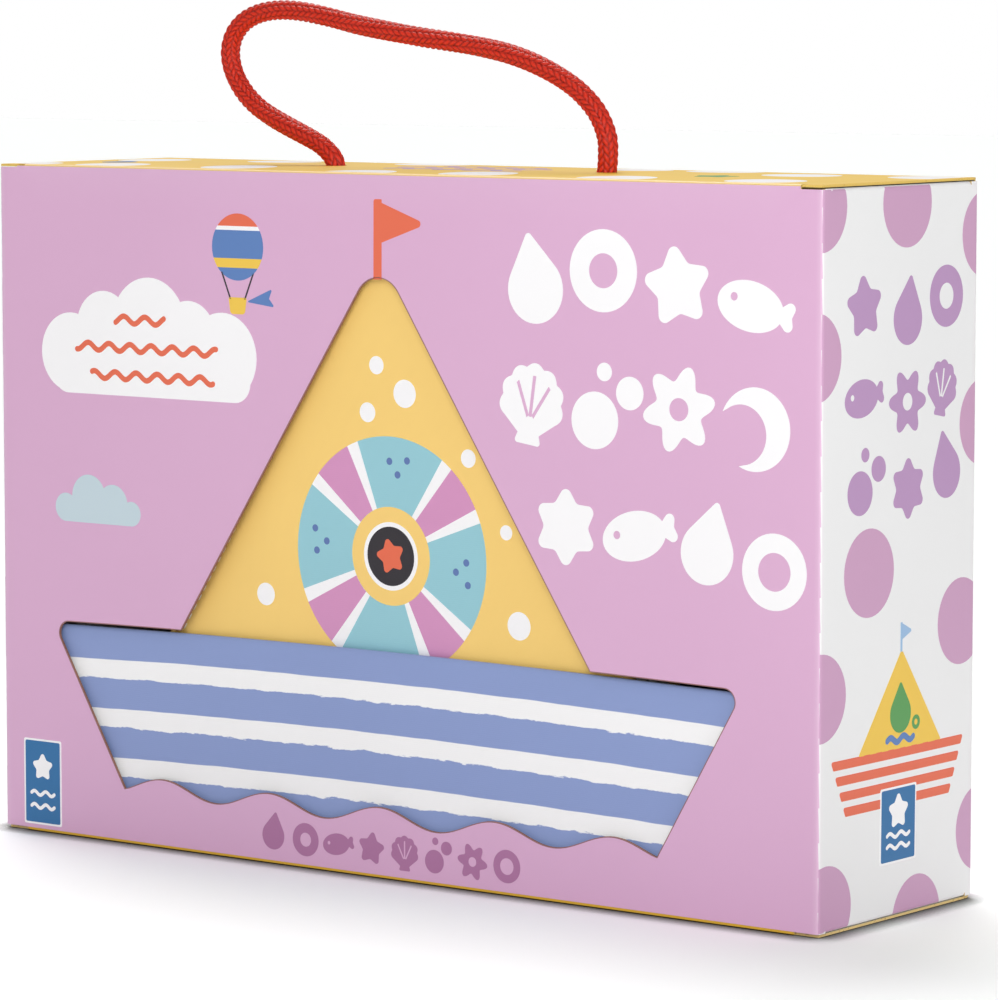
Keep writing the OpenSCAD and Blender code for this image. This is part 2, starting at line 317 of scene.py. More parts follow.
def sheet_solid(name, loops, place, materials, top=0.0, bottom=0.0, paint=None, marks=None,
                smooth_angle=35, edge_paint=None, **filling):
    """A closed sheet over the region between the loops. place(u, v, h) folds it into the frame.
    top and bottom are its faces' heights, or functions of the distance from the edge.
    Materials: the outer face's own, or paint's choice, then the inner face's, then the edge's.
    edge_paint may choose one of them for a part of the edge."""
    flat, faces = fill(loops, **filling)
    n = len(flat)
    reach = edge_distance(flat, loops) if callable(top) or callable(bottom) else None
    tops = top(reach) if callable(top) else np.full(n, float(top))
    bottoms = bottom(reach) if callable(bottom) else np.full(n, float(bottom))
    verts = [place(u, v, h) for (u, v), h in zip(flat, tops)]
    verts += [place(u, v, h) for (u, v), h in zip(flat, bottoms)]
    a, b, c = flat[faces[:, 0]], flat[faces[:, 1]], flat[faces[:, 2]]
    turned = ((b - a)[:, 0] * (c - a)[:, 1] - (b - a)[:, 1] * (c - a)[:, 0]) < 0
    faces[turned] = faces[turned][:, ::-1]
    sides = {(f[i], f[(i + 1) % 3]) for f in faces for i in range(3)}
    rim = sorted((i, j) for i, j in sides if (j, i) not in sides)
    outer = [tuple(f) for f in faces]
    inner = [tuple(n + i for i in f[::-1]) for f in faces]
    edge = [(i, n + i, n + j, j) for i, j in rim]
    last = len(materials) - 1
    chosen = [paint(*flat[list(f)].mean(axis=0)) if paint else 0 for f in outer]
    edges = [edge_paint(*(flat[i] + flat[j]) / 2) if edge_paint else last for i, j in rim]
    indices = chosen + [max(last - 1, 0)] * len(inner) + edges
    values = {mark: [value(u, v) for u, v in flat] * 2 for mark, value in (marks or {}).items()}
    return new_piece(name, verts, outer + inner + edge, materials, indices, smooth_angle, values)


# Materials

def srgb(r, g, b):
    """A colour given as it shows on a screen, 0 to 255, as Blender's linear numbers."""
    def linear(c):
        c /= 255
        return c / 12.92 if c <= 0.04045 else ((c + 0.055) / 1.055) ** 2.4
    return (linear(r), linear(g), linear(b), 1.0)


PINK = srgb(222, 176, 210)
WHITE = srgb(241, 241, 241)
INK_WHITE = srgb(253, 252, 253)
YELLOW = srgb(244, 202, 78)
LID_YELLOW = srgb(246, 202, 58)
CORAL = srgb(234, 110, 78)
PALE_BLUE = srgb(200, 218, 226)
TEAL = srgb(152, 205, 216)
MAUVE = srgb(206, 160, 194)
PURPLE = srgb(187, 148, 192)
DEEP_PURPLE = srgb(176, 117, 161)
MID_BLUE = srgb(92, 130, 190)
LEAF_GREEN = srgb(88, 158, 84)
HULL_BLUE = srgb(142, 160, 209)
SAIL_YELLOW = srgb(252, 212, 122)
SAIL_PINK = srgb(216, 150, 194)
BOARD_BARE = srgb(222, 219, 210)
BOARD_CUT = srgb(228, 200, 136)
# The pale that the ink turns along the creases: rubbed wear and a painted highlight
WEAR_AND_HIGHLIGHT_PALE = srgb(250, 240, 246)
ROPE_RED = srgb(222, 46, 20)
# The painted shade in the braid's valleys
ROPE_VALLEY_SHADE = srgb(70, 6, 4)
FOAM_WHITE = srgb(232, 228, 214)
THREAD_WHITE = srgb(238, 236, 230)
SLATE = srgb(96, 122, 178)
DARK_INK = srgb(46, 42, 48)
LABEL_BLUE = srgb(38, 112, 168)
# A dark line of painted shade along the window's edge
WINDOW_SHADE_LINE = srgb(150, 106, 104)
FLAG_BLUE = srgb(156, 190, 226)


def node(tree, kind, inputs=None, **settings):
    made = tree.nodes.new(kind)
    for key, value in settings.items():
        setattr(made, key, value)
    for key, value in (inputs or {}).items():
        if isinstance(value, bpy.types.NodeSocket):
            tree.links.new(value, made.inputs[key])
        else:
            made.inputs[key].default_value = value
    return made


def maths(tree, operation, a, b=0.0, c=0.0):
    made = node(tree, "ShaderNodeMath", {0: a, 1: b, 2: c}, operation=operation)
    return made.outputs[0]


def mix_colours(tree, share, a, b):
    made = node(tree, "ShaderNodeMix", {"Factor": share}, data_type="RGBA")
    for socket, value in ((made.inputs[6], a), (made.inputs[7], b)):
        if isinstance(value, bpy.types.NodeSocket):
            tree.links.new(value, socket)
        else:
            socket.default_value = value
    return made.outputs[2]


def scaled(tree, colour, share):
    made = node(tree, "ShaderNodeVectorMath", {0: colour, 3: share}, operation="SCALE")
    return made.outputs[0]


def toned(tree, colour, tone, spread):
    """The colour, darker and lighter by spread in all as the pattern tone goes from 0 to 1."""
    return scaled(tree, colour, maths(tree, "MULTIPLY_ADD", tone, spread, 1 - spread / 2))


def object_place(tree):
    return node(tree, "ShaderNodeTexCoord").outputs["Object"]


def new_group(name, inputs, outputs):
    """A node group with sockets from (name, kind, value) and (name, kind)."""
    tree = bpy.data.node_groups.new(name, "ShaderNodeTree")
    for label, kind, value in inputs:
        tree.interface.new_socket(label, in_out="INPUT", socket_type=kind).default_value = value
    for label, kind in outputs:
        tree.interface.new_socket(label, in_out="OUTPUT", socket_type=kind)
    return tree, tree.nodes.new("NodeGroupInput"), tree.nodes.new("NodeGroupOutput")


def noise(tree, vector, scale, detail=2.0, roughness=0.5):
    made = node(tree, "ShaderNodeTexNoise",
                {"Vector": vector, "Scale": scale, "Detail": detail, "Roughness": roughness})
    return made.outputs["Fac"]


def make_board_grain():
    """The fine tooth of coated board and a slow drift of its tone."""
    tree, given, made = new_group(
        "board_grain", [("Fibre", "NodeSocketFloat", 900.0), ("Drift", "NodeSocketFloat", 14.0)],
        [("Height", "NodeSocketFloat"), ("Tone", "NodeSocketFloat")])
    place = object_place(tree)
    fine = noise(tree, place, given.outputs["Fibre"], 3.0, 0.6)
    coarse = noise(tree, place, maths(tree, "MULTIPLY", given.outputs["Fibre"], 0.12), 2.0)
    tree.links.new(maths(tree, "MULTIPLY_ADD", coarse, 0.7, fine), made.inputs["Height"])
    tree.links.new(noise(tree, place, given.outputs["Drift"], 1.0), made.inputs["Tone"])
    return tree


def make_fold_wear():
    """Ink that is paler along the creases, as the mark named crease says: partly rubbed wear, partly
    a painted highlight on the folds.
    """
    tree, given, made = new_group(
        "fold_wear_and_highlight", [("Ink", "NodeSocketColor", PINK), ("Bare", "NodeSocketColor", WEAR_AND_HIGHLIGHT_PALE),
                      ("Wear_and_highlight", "NodeSocketFloat", 0.5), ("Tone", "NodeSocketFloat", 0.5)],
        [("Color", "NodeSocketColor")])
    crease = node(tree, "ShaderNodeAttribute", attribute_name="crease").outputs["Fac"]
    place = object_place(tree)
    patchy = maths(tree, "MULTIPLY_ADD", noise(tree, place, 260.0, 3.0, 0.6), 0.9, 0.45)
    share = maths(tree, "MULTIPLY", maths(tree, "MULTIPLY", crease, patchy), given.outputs["Wear_and_highlight"])
    worn = mix_colours(tree, share, given.outputs["Ink"], given.outputs["Bare"])
    tree.links.new(toned(tree, worn, given.outputs["Tone"], 0.05), made.inputs["Color"])
    return tree


def make_knit():
    """A smooth knit's small loops, and the soft shade of its slow waves."""
    tree, given, made = new_group(
        "knit", [("Pitch", "NodeSocketFloat", 0.0004)],
        [("Height", "NodeSocketFloat"), ("Tone", "NodeSocketFloat")])
    place = object_place(tree)
    parts = node(tree, "ShaderNodeSeparateXYZ", {"Vector": place}).outputs
    turns = maths(tree, "DIVIDE", math.tau, given.outputs["Pitch"])
    across = maths(tree, "SINE", maths(tree, "MULTIPLY", parts["X"], turns))
    lean = maths(tree, "MULTIPLY", maths(tree, "ABSOLUTE", across), 1.6)
    rows = maths(tree, "MULTIPLY_ADD", parts["Z"], maths(tree, "MULTIPLY", turns, 0.8), lean)
    loops = maths(tree, "ADD", maths(tree, "SINE", rows), maths(tree, "ABSOLUTE", across))
    fuzz = noise(tree, place, 2600.0, 2.0, 0.7)
    tree.links.new(maths(tree, "MULTIPLY_ADD", fuzz, 0.9, loops), made.inputs["Height"])
    tree.links.new(noise(tree, place, 22.0, 2.0), made.inputs["Tone"])
    return tree


BOARD_GRAIN = make_board_grain()
FOLD_WEAR_AND_HIGHLIGHT = make_fold_wear()
KNIT = make_knit()


def use_group(tree, group_tree, inputs=None):
    made = node(tree, "ShaderNodeGroup", node_tree=group_tree)
    for key, value in (inputs or {}).items():
        if isinstance(value, bpy.types.NodeSocket):
            tree.links.new(value, made.inputs[key])
        else:
            made.inputs[key].default_value = value
    return made.outputs


def new_material(name, colour, **constants):
    """A material with its Principled shader; constants are set on the shader's own sockets."""
    material = bpy.data.materials.new(name)
    material.use_nodes = True
    material.diffuse_color = colour
    shader = material.node_tree.nodes["Principled BSDF"]
    shader.inputs["Base Color"].default_value = colour
    for key, value in constants.items():
        shader.inputs[key.replace("_", " ")].default_value = value
    return material, material.node_tree, shader


def add_bump(tree, shader, height, depth, strength=1.0):
    made = node(tree, "ShaderNodeBump",
                {"Height": height, "Distance": depth, "Strength": strength})
    tree.links.new(made.outputs["Normal"], shader.inputs["Normal"])


def printed_board(name, ink, wear_and_highlight=0.0, roughness=0.46):
    """Ink on coated board under a matt film."""
    material, tree, shader = new_material(name, ink, Coat_Weight=0.12, Coat_Roughness=0.34)
    grain = use_group(tree, BOARD_GRAIN)
    # Paler along the creases: rubbed wear and a painted highlight on the folds
    colour = use_group(tree, FOLD_WEAR_AND_HIGHLIGHT, {"Ink": ink, "Wear_and_highlight": wear_and_highlight, "Tone": grain["Tone"]})
    tree.links.new(colour["Color"], shader.inputs["Base Color"])
    tree.links.new(maths(tree, "MULTIPLY_ADD", grain["Height"], 0.06, roughness - 0.05),
                   shader.inputs["Roughness"])
    add_bump(tree, shader, grain["Height"], 0.00002, 0.6)
    return material


def bare_board(name, colour, fleck, roughness=0.8):
    """Uncoated board, with fibres and a few darker flecks."""
    material, tree, shader = new_material(name, colour, Roughness=roughness)
    grain = use_group(tree, BOARD_GRAIN, {"Fibre": 700.0})
    place = object_place(tree)
    flecks = maths(tree, "GREATER_THAN", noise(tree, place, 1500.0, 1.0), 0.68)
    mixed = mix_colours(tree, maths(tree, "MULTIPLY", flecks, 0.5), colour, fleck)
    tree.links.new(toned(tree, mixed, grain["Tone"], 0.1), shader.inputs["Base Color"])
    add_bump(tree, shader, grain["Height"], 0.00005)
    return material


KNIT_PITCH = 0.0004
KNIT_DEPTH = 0.00001


def knit_cloth(name, colour, roughness=0.75, pitch=KNIT_PITCH, spread=0.07, pattern=None):
    """Smooth double-knit cloth with a soft nap. A pattern may draw on its colour."""
    material, tree, shader = new_material(name, colour, Roughness=roughness,
                                          Sheen_Weight=0.12, Sheen_Roughness=0.5)
    knit = use_group(tree, KNIT, {"Pitch": pitch})
    drawn = pattern(tree, colour) if pattern else colour[:3]
    tree.links.new(toned(tree, drawn, knit["Tone"], spread), shader.inputs["Base Color"])
    add_bump(tree, shader, knit["Height"], KNIT_DEPTH, 0.5)
    return material


STRIPE_PITCH = 12.4
STRIPE_H = 4.75
STRIPE_MIDDLE_Z = 32.65
STRIPE_SAG = 2.0
STRIPES = 3
STRIPE_WHITE = srgb(252, 252, 252)
BOAT_X = -2.0
OPEN_TOP_W = 212.0


def boat_stripes(tree, blue):
    """The boat's white stripes, with a clean upper and a dry-brushed lower edge."""
    parts = node(tree, "ShaderNodeSeparateXYZ", {"Vector": object_place(tree)}).outputs
    x = maths(tree, "MULTIPLY", parts["X"], 1 / MM)
    z = maths(tree, "MULTIPLY", parts["Z"], 1 / MM)

    def pattern(x_scale, z_scale, detail, roughness):
        place = node(tree, "ShaderNodeCombineXYZ", {"X": maths(tree, "MULTIPLY", x, x_scale),
                                                    "Z": maths(tree, "MULTIPLY", z, z_scale)})
        found = noise(tree, place.outputs[0], 1.0, detail, roughness)
        return maths(tree, "SUBTRACT", found, 0.5)

    out = maths(tree, "DIVIDE", maths(tree, "SUBTRACT", x, BOAT_X), OPEN_TOP_W / 2)
    level = maths(tree, "MULTIPLY_ADD", maths(tree, "MULTIPLY", out, out), STRIPE_SAG, z)
    turn = maths(tree, "DIVIDE", maths(tree, "SUBTRACT", level, STRIPE_MIDDLE_Z), STRIPE_PITCH)
    part = maths(tree, "SUBTRACT", maths(tree, "FRACT", maths(tree, "ADD", turn, 8.5)), 0.5)
    off = maths(tree, "MULTIPLY", part, STRIPE_PITCH)
    ragged = maths(tree, "MULTIPLY", pattern(0.16, 0.9, 5.0, 0.62), 2.2)
    drift = maths(tree, "MULTIPLY", pattern(0.05, 0.05, 2.0, 0.5), 0.8)
    above = maths(tree, "ADD", maths(tree, "SUBTRACT", STRIPE_H / 2, off), drift)
    below = maths(tree, "ADD", maths(tree, "ADD", off, STRIPE_H / 2), ragged)
    number = maths(tree, "SUBTRACT", STRIPES / 2, maths(tree, "ABSOLUTE", turn))
    inside = maths(tree, "MINIMUM", maths(tree, "MINIMUM", above, below), number)
    mask = node(tree, "ShaderNodeMapRange", {"Value": inside, "From Min": -0.06,
                                             "From Max": 0.06}).outputs[0]
    return mix_colours(tree, mask, blue, STRIPE_WHITE)


def braid(name):
    """Rope yarn with painted shade between its stitches, as the mark named valley says."""
    material, tree, shader = new_material(name, ROPE_RED, Roughness=0.42,
                                          Specular_IOR_Level=0.3)
    valley = node(tree, "ShaderNodeAttribute", attribute_name="valley").outputs["Fac"]
    place = object_place(tree)
    yarn = noise(tree, place, 1900.0, 3.0, 0.6)
    # Painted shade: the colour darkens towards the braid's valleys
    colour = mix_colours(tree, maths(tree, "POWER", valley, 1.2), ROPE_RED, ROPE_VALLEY_SHADE)
    tree.links.new(toned(tree, colour, yarn, 0.3), shader.inputs["Base Color"])
    add_bump(tree, shader, yarn, 0.00012)
    return material


def pored_foam(name):
    material, tree, shader = new_material(name, FOAM_WHITE, Roughness=0.85)
    place = object_place(tree)
    cells = node(tree, "ShaderNodeTexVoronoi", {"Vector": place, "Scale": 900.0},
                 feature="SMOOTH_F1").outputs["Distance"]
    # Painted shade in the foam's pores: the colour darkens near each cell's middle
    pore_shade = maths(tree, "MULTIPLY", maths(tree, "SUBTRACT", 0.6, cells), 0.5)
    tree.links.new(mix_colours(tree, pore_shade, FOAM_WHITE, srgb(188, 182, 164)),
                   shader.inputs["Base Color"])
    add_bump(tree, shader, cells, 0.0003)
    return material


# How much paler each print is along its creases, from rubbed wear and a painted highlight
PINK_PRINT = printed_board("pink_print", PINK, wear_and_highlight=0.12)
WHITE_PRINT = printed_board("white_print", WHITE, wear_and_highlight=0.2)
YELLOW_PRINT = printed_board("yellow_print", LID_YELLOW, wear_and_highlight=0.25)
BARE_INSIDE = bare_board("bare_inside", BOARD_BARE, srgb(150, 142, 126))
CUT_EDGE = bare_board("cut_edge", BOARD_CUT, srgb(120, 88, 44), roughness=0.7)
# The window's cut edges get a darker colour than the board's other cut edges: painted shade on the
# edges that face into the recess.
SHADED_WINDOW_EDGE = bare_board("window_edge_painted_shade", srgb(150, 104, 84), srgb(92, 58, 44), roughness=0.8)
LID_EDGE = bare_board("lid_edge", srgb(226, 190, 96), srgb(170, 128, 60), roughness=0.7)
BOAT_CLOTH = knit_cloth("boat_cloth", HULL_BLUE, spread=0.06, pattern=boat_stripes)
PLAIN_BLUE_CLOTH = knit_cloth("plain_blue_cloth", HULL_BLUE)
WHITE_CLOTH = knit_cloth("white_cloth", srgb(240, 240, 242))
SAIL_CLOTH = knit_cloth("sail_cloth", SAIL_YELLOW)
PAGE_CLOTH = knit_cloth("page_cloth", srgb(240, 238, 228))
FOAM = pored_foam("foam")
ROPE_YARN = braid("rope_yarn")
THREAD = knit_cloth("thread", THREAD_WHITE, roughness=0.6, pitch=0.0003)


# The carton's board is folded from flat sheets. Each quarter bend has this radius outside.
FOLD_R = 0.8
BEND = FOLD_R * math.pi / 2
BEND_ROWS = [share * BEND for share in (0, 0.2, 0.4, 0.6, 0.8, 1)]
FOLD_ROWS = [-2.4, -1.0] + BEND_ROWS + [BEND + 1.0, BEND + 2.4]
CREASE_REACH = 1.1


def folded(lengths, start, heading, s, h):
    """A place on a folded strip, s along its outer face and h off it, and the way that it faces.
    The outer face lies to the right of the way, and a quarter bend to the left ends each length."""
    x, y = start
    way = (math.cos(heading), math.sin(heading))
    for i, length in enumerate(lengths):
        out = (way[1], -way[0])
        if s <= length or i == len(lengths) - 1:
            return x + way[0] * s + out[0] * h, y + way[1] * s + out[1] * h, out
        x, y, s = x + way[0] * length, y + way[1] * length, s - length
        if s < BEND:
            c, k = math.cos(s / FOLD_R), math.sin(s / FOLD_R)
            facing = (out[0] * c + way[0] * k, out[1] * c + way[1] * k)
            r = FOLD_R + h
            return (x - out[0] * FOLD_R + facing[0] * r, y - out[1] * FOLD_R + facing[1] * r,
                    facing)
        s -= BEND
        x, y = x + (way[0] - out[0]) * FOLD_R, y + (way[1] - out[1]) * FOLD_R
        way = (-out[0], -out[1])


GLUE_FLAP_W = 12.6
DUST_FLAP_L = 45.3
DUST_FLAP_TAPER = 6.0
DUST_FLAP_ROOM = 2.6
RELIEF = 0.3
FRONT_TOP = LID_TOP - 0.4
SLIT_L = 6.0
SLIT_H = 0.65
LEFT_SLIT_H = 0.35
BOTTOM_TUCK_H = 12.0
TUCK_INSET = 7.0
LID_START = LID_TOP - 3.0
LID_END_GAP = 0.3
WALL_BOW = 0.3

# The walls in their order round the carton, each from its first to its last point on the sheet
WALL_NAMES = ("glue_flap", "left", "front", "right", "back")
WALL_RUN = (GLUE_FLAP_W - FOLD_R, BACK - BOARD - FRONT - 2 * FOLD_R, 2 * HALF_W - 2 * FOLD_R,
            BACK - FRONT - 2 * FOLD_R, 2 * HALF_W - FOLD_R)
wall_at = {}
for i, (wall_name, run) in enumerate(zip(WALL_NAMES, WALL_RUN)):
    first = sum(WALL_RUN[:i]) + i * BEND
    wall_at[wall_name] = (first, first + run)


def left_u(y):
    return wall_at["left"][0] + BACK - BOARD - FOLD_R - y


def front_u(x):
    return wall_at["front"][0] + x + HALF_W - FOLD_R


def right_u(y):
    return wall_at["right"][0] + y - FRONT - FOLD_R


def back_u(x):
    return wall_at["back"][0] + HALF_W - FOLD_R - x


FLAP_RUN = DUST_FLAP_L - FOLD_R
SIDE_COLUMN = (FLAP_RUN, WALL_TOP - WALL_LOW - 2 * FOLD_R, FLAP_RUN)
INNER_DEPTH = BACK - FRONT - BOARD
BACK_COLUMN = (BOTTOM_TUCK_H - FOLD_R, INNER_DEPTH - 2 * FOLD_R, LID_START)
SIDE_FOLD_LOW = WALL_LOW + FOLD_R
SIDE_FOLD_TOP = WALL_TOP - FOLD_R
flap_y = {"low": (FRONT + BOARD + DUST_FLAP_ROOM, BACK - BOARD - DUST_FLAP_ROOM),
          "top": (tuck_high.y + DUST_FLAP_ROOM - BOARD, BACK - BOARD - DUST_FLAP_ROOM)}


def wall_of(u):
    for name in WALL_NAMES[:-1]:
        if u < wall_at[name][1] + BEND / 2:
            return name
    return "back"


def bow(share_u, share_v, depth):
    """The slight bulge of a board panel between its creases."""
    if not (0 < share_u < 1 and 0 < share_v < 1):
        return 0.0
    return depth * math.sin(math.pi * share_u) * math.sin(math.pi * share_v)


def carton_place(u, v, h):
    wall = wall_of(u)
    first, last = wall_at[wall]
    x, y, out = folded(WALL_RUN, (GLUE_FLAP_W - HALF_W, BACK - BOARD), math.pi, u, 0)
    off, z = h, v
    if wall in ("left", "right"):
        place_y = BACK - BOARD - FOLD_R - (u - first) if wall == "left" else u - right_u(0)
        low, high = flap_y["low" if v < SIDE_FOLD_LOW else "top"]
        if low - RELIEF / 2 < place_y < high + RELIEF / 2:
            off, z, _ = folded(SIDE_COLUMN, (-DUST_FLAP_L, WALL_LOW), 0.0,
                               v - SIDE_FOLD_LOW + FLAP_RUN + BEND, h)
    elif wall == "back" and v < FOLD_R and u > first - RELIEF / 2:
        s = v - FOLD_R + BACK_COLUMN[0] + BACK_COLUMN[1] + 2 * BEND
        off, z, _ = folded(BACK_COLUMN, (-INNER_DEPTH, BOTTOM_TUCK_H), -math.pi / 2, s, h)
    if wall != "glue_flap":
        off += bow((u - first) / (last - first), (v - 2) / (LID_START - 2), WALL_BOW)
    return x + out[0] * off, y + out[1] * off, z


def carton_paint(u, v):
    """0 pink, 1 white or 2 yellow."""
    wall = wall_of(u)
    if wall == "back" and v < FOLD_R - BEND / 2:
        return 2
    return 0 if wall in ("front", "back") else 1


# How near each point lies to a crease, where the ink is paled by wear and a painted highlight
def carton_crease(u, v):
    near = min(max(first - BEND - u, 0) + max(u - first, 0)
               for first, _ in (wall_at[name] for name in WALL_NAMES[1:]))
    wall = wall_of(u)
    if wall in ("left", "right"):
        near = min(near, abs(v - SIDE_FOLD_LOW + BEND / 2), abs(v - SIDE_FOLD_TOP - BEND / 2))
    if wall == "back":
        near = min(near, abs(v - FOLD_R + BEND / 2))
    if wall == "front":
        near = min(near, max(FRONT_TOP - v, 0) + 0.5)
    return max(0.0, 1 - near / CREASE_REACH) ** 1.5


def flap_points(u_low, u_high, fold_v, sign, edge_v):
    """The outline of a dust flap: its relief cuts, tapered sides and free end.
    sign is -1 for a flap below the wall, whose points run left to right, and 1 above it."""
    end_v = fold_v + sign * (BEND + FLAP_RUN)
    root_v = fold_v + sign * BEND
    points = [(u_low - RELIEF, edge_v, 0), (u_low - RELIEF, fold_v, 0), (u_low, fold_v, 0),
              (u_low, root_v, 0), (u_low + DUST_FLAP_TAPER, end_v, 3),
              (u_high - DUST_FLAP_TAPER, end_v, 3), (u_high, root_v, 0), (u_high, fold_v, 0),
              (u_high + RELIEF, fold_v, 0), (u_high + RELIEF, edge_v, 0)]
    return points if sign < 0 else points[::-1]


def carton_outline():
    glue_end = wall_at["glue_flap"][1]
    back_first, back_last = wall_at["back"]
    low, top = flap_y["low"], flap_y["top"]
    panel_end_v = FOLD_R - BEND - BACK_COLUMN[1]
    tuck_end_v = panel_end_v - BEND - BACK_COLUMN[0]
    points = [(0, 6, 1), (glue_end, WALL_LOW + 1, 0), (glue_end + BEND, WALL_LOW, 0)]
    points += flap_points(left_u(low[1]), left_u(low[0]), SIDE_FOLD_LOW, -1, WALL_LOW)
    points += flap_points(right_u(low[0]), right_u(low[1]), SIDE_FOLD_LOW, -1, WALL_LOW)
    points += [(back_first - RELIEF, WALL_LOW, 0), (back_first - RELIEF, FOLD_R, 0),
               (back_first, FOLD_R, 0), (back_first, panel_end_v, 0),
               (back_u(HALF_W - TUCK_INSET), panel_end_v, 0),
               (back_u(HALF_W - TUCK_INSET), tuck_end_v, 3),
               (back_u(TUCK_INSET - HALF_W), tuck_end_v, 3),
               (back_u(TUCK_INSET - HALF_W), panel_end_v, 0),
               (back_last - LID_END_GAP, panel_end_v, 0), (back_last - LID_END_GAP, FOLD_R, 0),
               (back_last, FOLD_R, 0), (back_last, LID_START, 0), (back_first, LID_START, 0),
               (back_first, WALL_TOP, 0)]
    points += flap_points(right_u(top[0]), right_u(top[1]), SIDE_FOLD_TOP, 1, WALL_TOP)
    slit_z, left_slit_z = FRONT_TOP - SLIT_H, FRONT_TOP - LEFT_SLIT_H
    slit_x = HALF_W - SLIT_L
    points += [(right_u(FRONT + FOLD_R + 0.2), WALL_TOP, 0),
               (right_u(FRONT + FOLD_R), slit_z, 0), (front_u(slit_x), slit_z, 0),
               (front_u(slit_x), FRONT_TOP, 0), (front_u(-slit_x), FRONT_TOP, 0),
               (front_u(-slit_x), left_slit_z, 0), (left_u(FRONT + FOLD_R), left_slit_z, 0),
               (left_u(FRONT + FOLD_R + 0.2), WALL_TOP, 0)]
    points += flap_points(left_u(top[1]), left_u(top[0]), SIDE_FOLD_TOP, 1, WALL_TOP)
    points += [(glue_end + BEND, WALL_TOP, 0), (glue_end, WALL_TOP - 1, 0), (0, WALL_TOP - 6, 1)]
    return rounded(points)


# The boat-shaped opening, as in the part's source
OPEN_TOP_Z = 54.7
OPEN_TIP_Z = 13.9
OPEN_TIP_W = 164.3
OPEN_CORNER_R = 3.0
OPEN_ARCH = 1.3
WAVE_L, WAVE_H, WAVE_Z = 34.8, 2.15, 15.3
SAIL_FOOT_W = 126.0
SAIL_RISE = 95.4
SAIL_TOP_R = 7.2
OPEN_SLOPE = (OPEN_TOP_W - OPEN_TIP_W) / 2 / (OPEN_TOP_Z - OPEN_TIP_Z)
OPEN_SLANT = math.hypot(1, OPEN_SLOPE)
SAIL_SLOPE = SAIL_FOOT_W / 2 / SAIL_RISE
SAIL_SLANT = math.hypot(1, SAIL_SLOPE)


def arch_z(x):
    return OPEN_TOP_Z + OPEN_ARCH * (1 - (x / (OPEN_TOP_W / 2)) ** 2)


def wave_at(x):
    return WAVE_Z + WAVE_H * math.cos(math.tau * x / WAVE_L)


def opening():
    corner_x, foot_x, tip_x = OPEN_TOP_W / 2, SAIL_FOOT_W / 2, OPEN_TIP_W / 2
    foot_z = arch_z(foot_x)
    arch = [foot_x + (corner_x - foot_x) * share for share in (0.2, 0.4, 0.6, 0.8)]
    waves = np.linspace(tip_x, -tip_x, 120)[1:-1]
    points = [(-corner_x, OPEN_TOP_Z, OPEN_CORNER_R)]
    points += [(-x, arch_z(x), 0) for x in arch[::-1]]
    points += [(-foot_x, foot_z, 0), (0, foot_z + SAIL_RISE, SAIL_TOP_R), (foot_x, foot_z, 0)]
    points += [(x, arch_z(x), 0) for x in arch]
    points += [(corner_x, OPEN_TOP_Z, OPEN_CORNER_R), (tip_x, wave_at(tip_x), 0)]
    points += [(x, wave_at(x), 0) for x in waves]
    points += [(-tip_x, wave_at(tip_x), 0)]
    return [(x + BOAT_X, z) for x, z in rounded(points)]


def carton_lines():
    """The rows of points across each crease, where the sheet bends."""
    lines = []
    for name in WALL_NAMES[:-1]:
        last = wall_at[name][1]
        lines += upright_lines(last, FOLD_ROWS, -2, LID_TOP + 3)
    for (low, high), fold_v, sign in ((flap_y["low"], SIDE_FOLD_LOW, -1),
                                      (flap_y["top"], SIDE_FOLD_TOP, 1)):
        for u_of in (left_u, right_u):
            ends = sorted((u_of(low), u_of(high)))
            lines += level_lines(fold_v, FOLD_ROWS[1:-1], *ends, sign)
    ends = (wall_at["back"][0] - RELIEF, wall_at["back"][1])
    lines += level_lines(FOLD_R, FOLD_ROWS, *ends, -1)
    panel_end_v = FOLD_R - BEND - BACK_COLUMN[1]
    lines += level_lines(panel_end_v, BEND_ROWS, *ends, -1)
    return lines


def fit(piece, replaced, body="box"):
    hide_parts(replaced)
    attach(piece, body)


def make_carton():
    loops = [solid_loop(carton_outline()), hole_loop([(front_u(x), z) for x, z in opening()])]

    # The window's cut edges take the darker colour of painted shade, and the other edges the plain
    # cut edge.
    def edge_paint(u, v):
        margin = 5
        in_window = (front_u(margin - HALF_W) < u < front_u(HALF_W - margin)
                     and margin < v < FRONT_TOP - margin)
        return 3 if in_window else 5

    piece = sheet_solid("folded_carton", loops, carton_place,
                        [PINK_PRINT, WHITE_PRINT, YELLOW_PRINT, SHADED_WINDOW_EDGE, BARE_INSIDE, CUT_EDGE],
                        bottom=-BOARD, lines=carton_lines(), step=8, paint=carton_paint,
                        marks={"crease": carton_crease}, edge_paint=edge_paint)
    fit(piece, "carton")


# The lid continues the back wall's board, and the tuck flap continues the lid's.
LID_UP = LID_TOP - LID_START - FOLD_R
TUCK_FACE = tuck_low.y
LID_RUN = BACK - FOLD_R - (TUCK_FACE + FOLD_R)
LID_EDGE_V = LID_UP + BEND + LID_RUN
TUCK_HALF = HALF_W - TUCK_INSET
TUCK_DROP = LID_TOP - FOLD_R - tuck_low.z
TUCK_CORNER_R = 8.0
ROPE_X = 41.5
ROPE_HOLE_R = 2.7
LID_BOW = 0.35
LOCK_CUT = 0.6


def lid_v(y):
    """How far along the lid's sheet the depth y lies."""
    return LID_UP + BEND + BACK - FOLD_R - y


def lid_place(u, v, h):
    y, z, out = folded((LID_UP, 2 * LID_RUN), (BACK, LID_START), math.pi / 2, v, h)
    lift = bow((u + HALF_W) / (2 * HALF_W), (v - LID_UP - BEND) / LID_RUN, LID_BOW)
    return -u, y + out[0] * lift, z + out[1] * lift


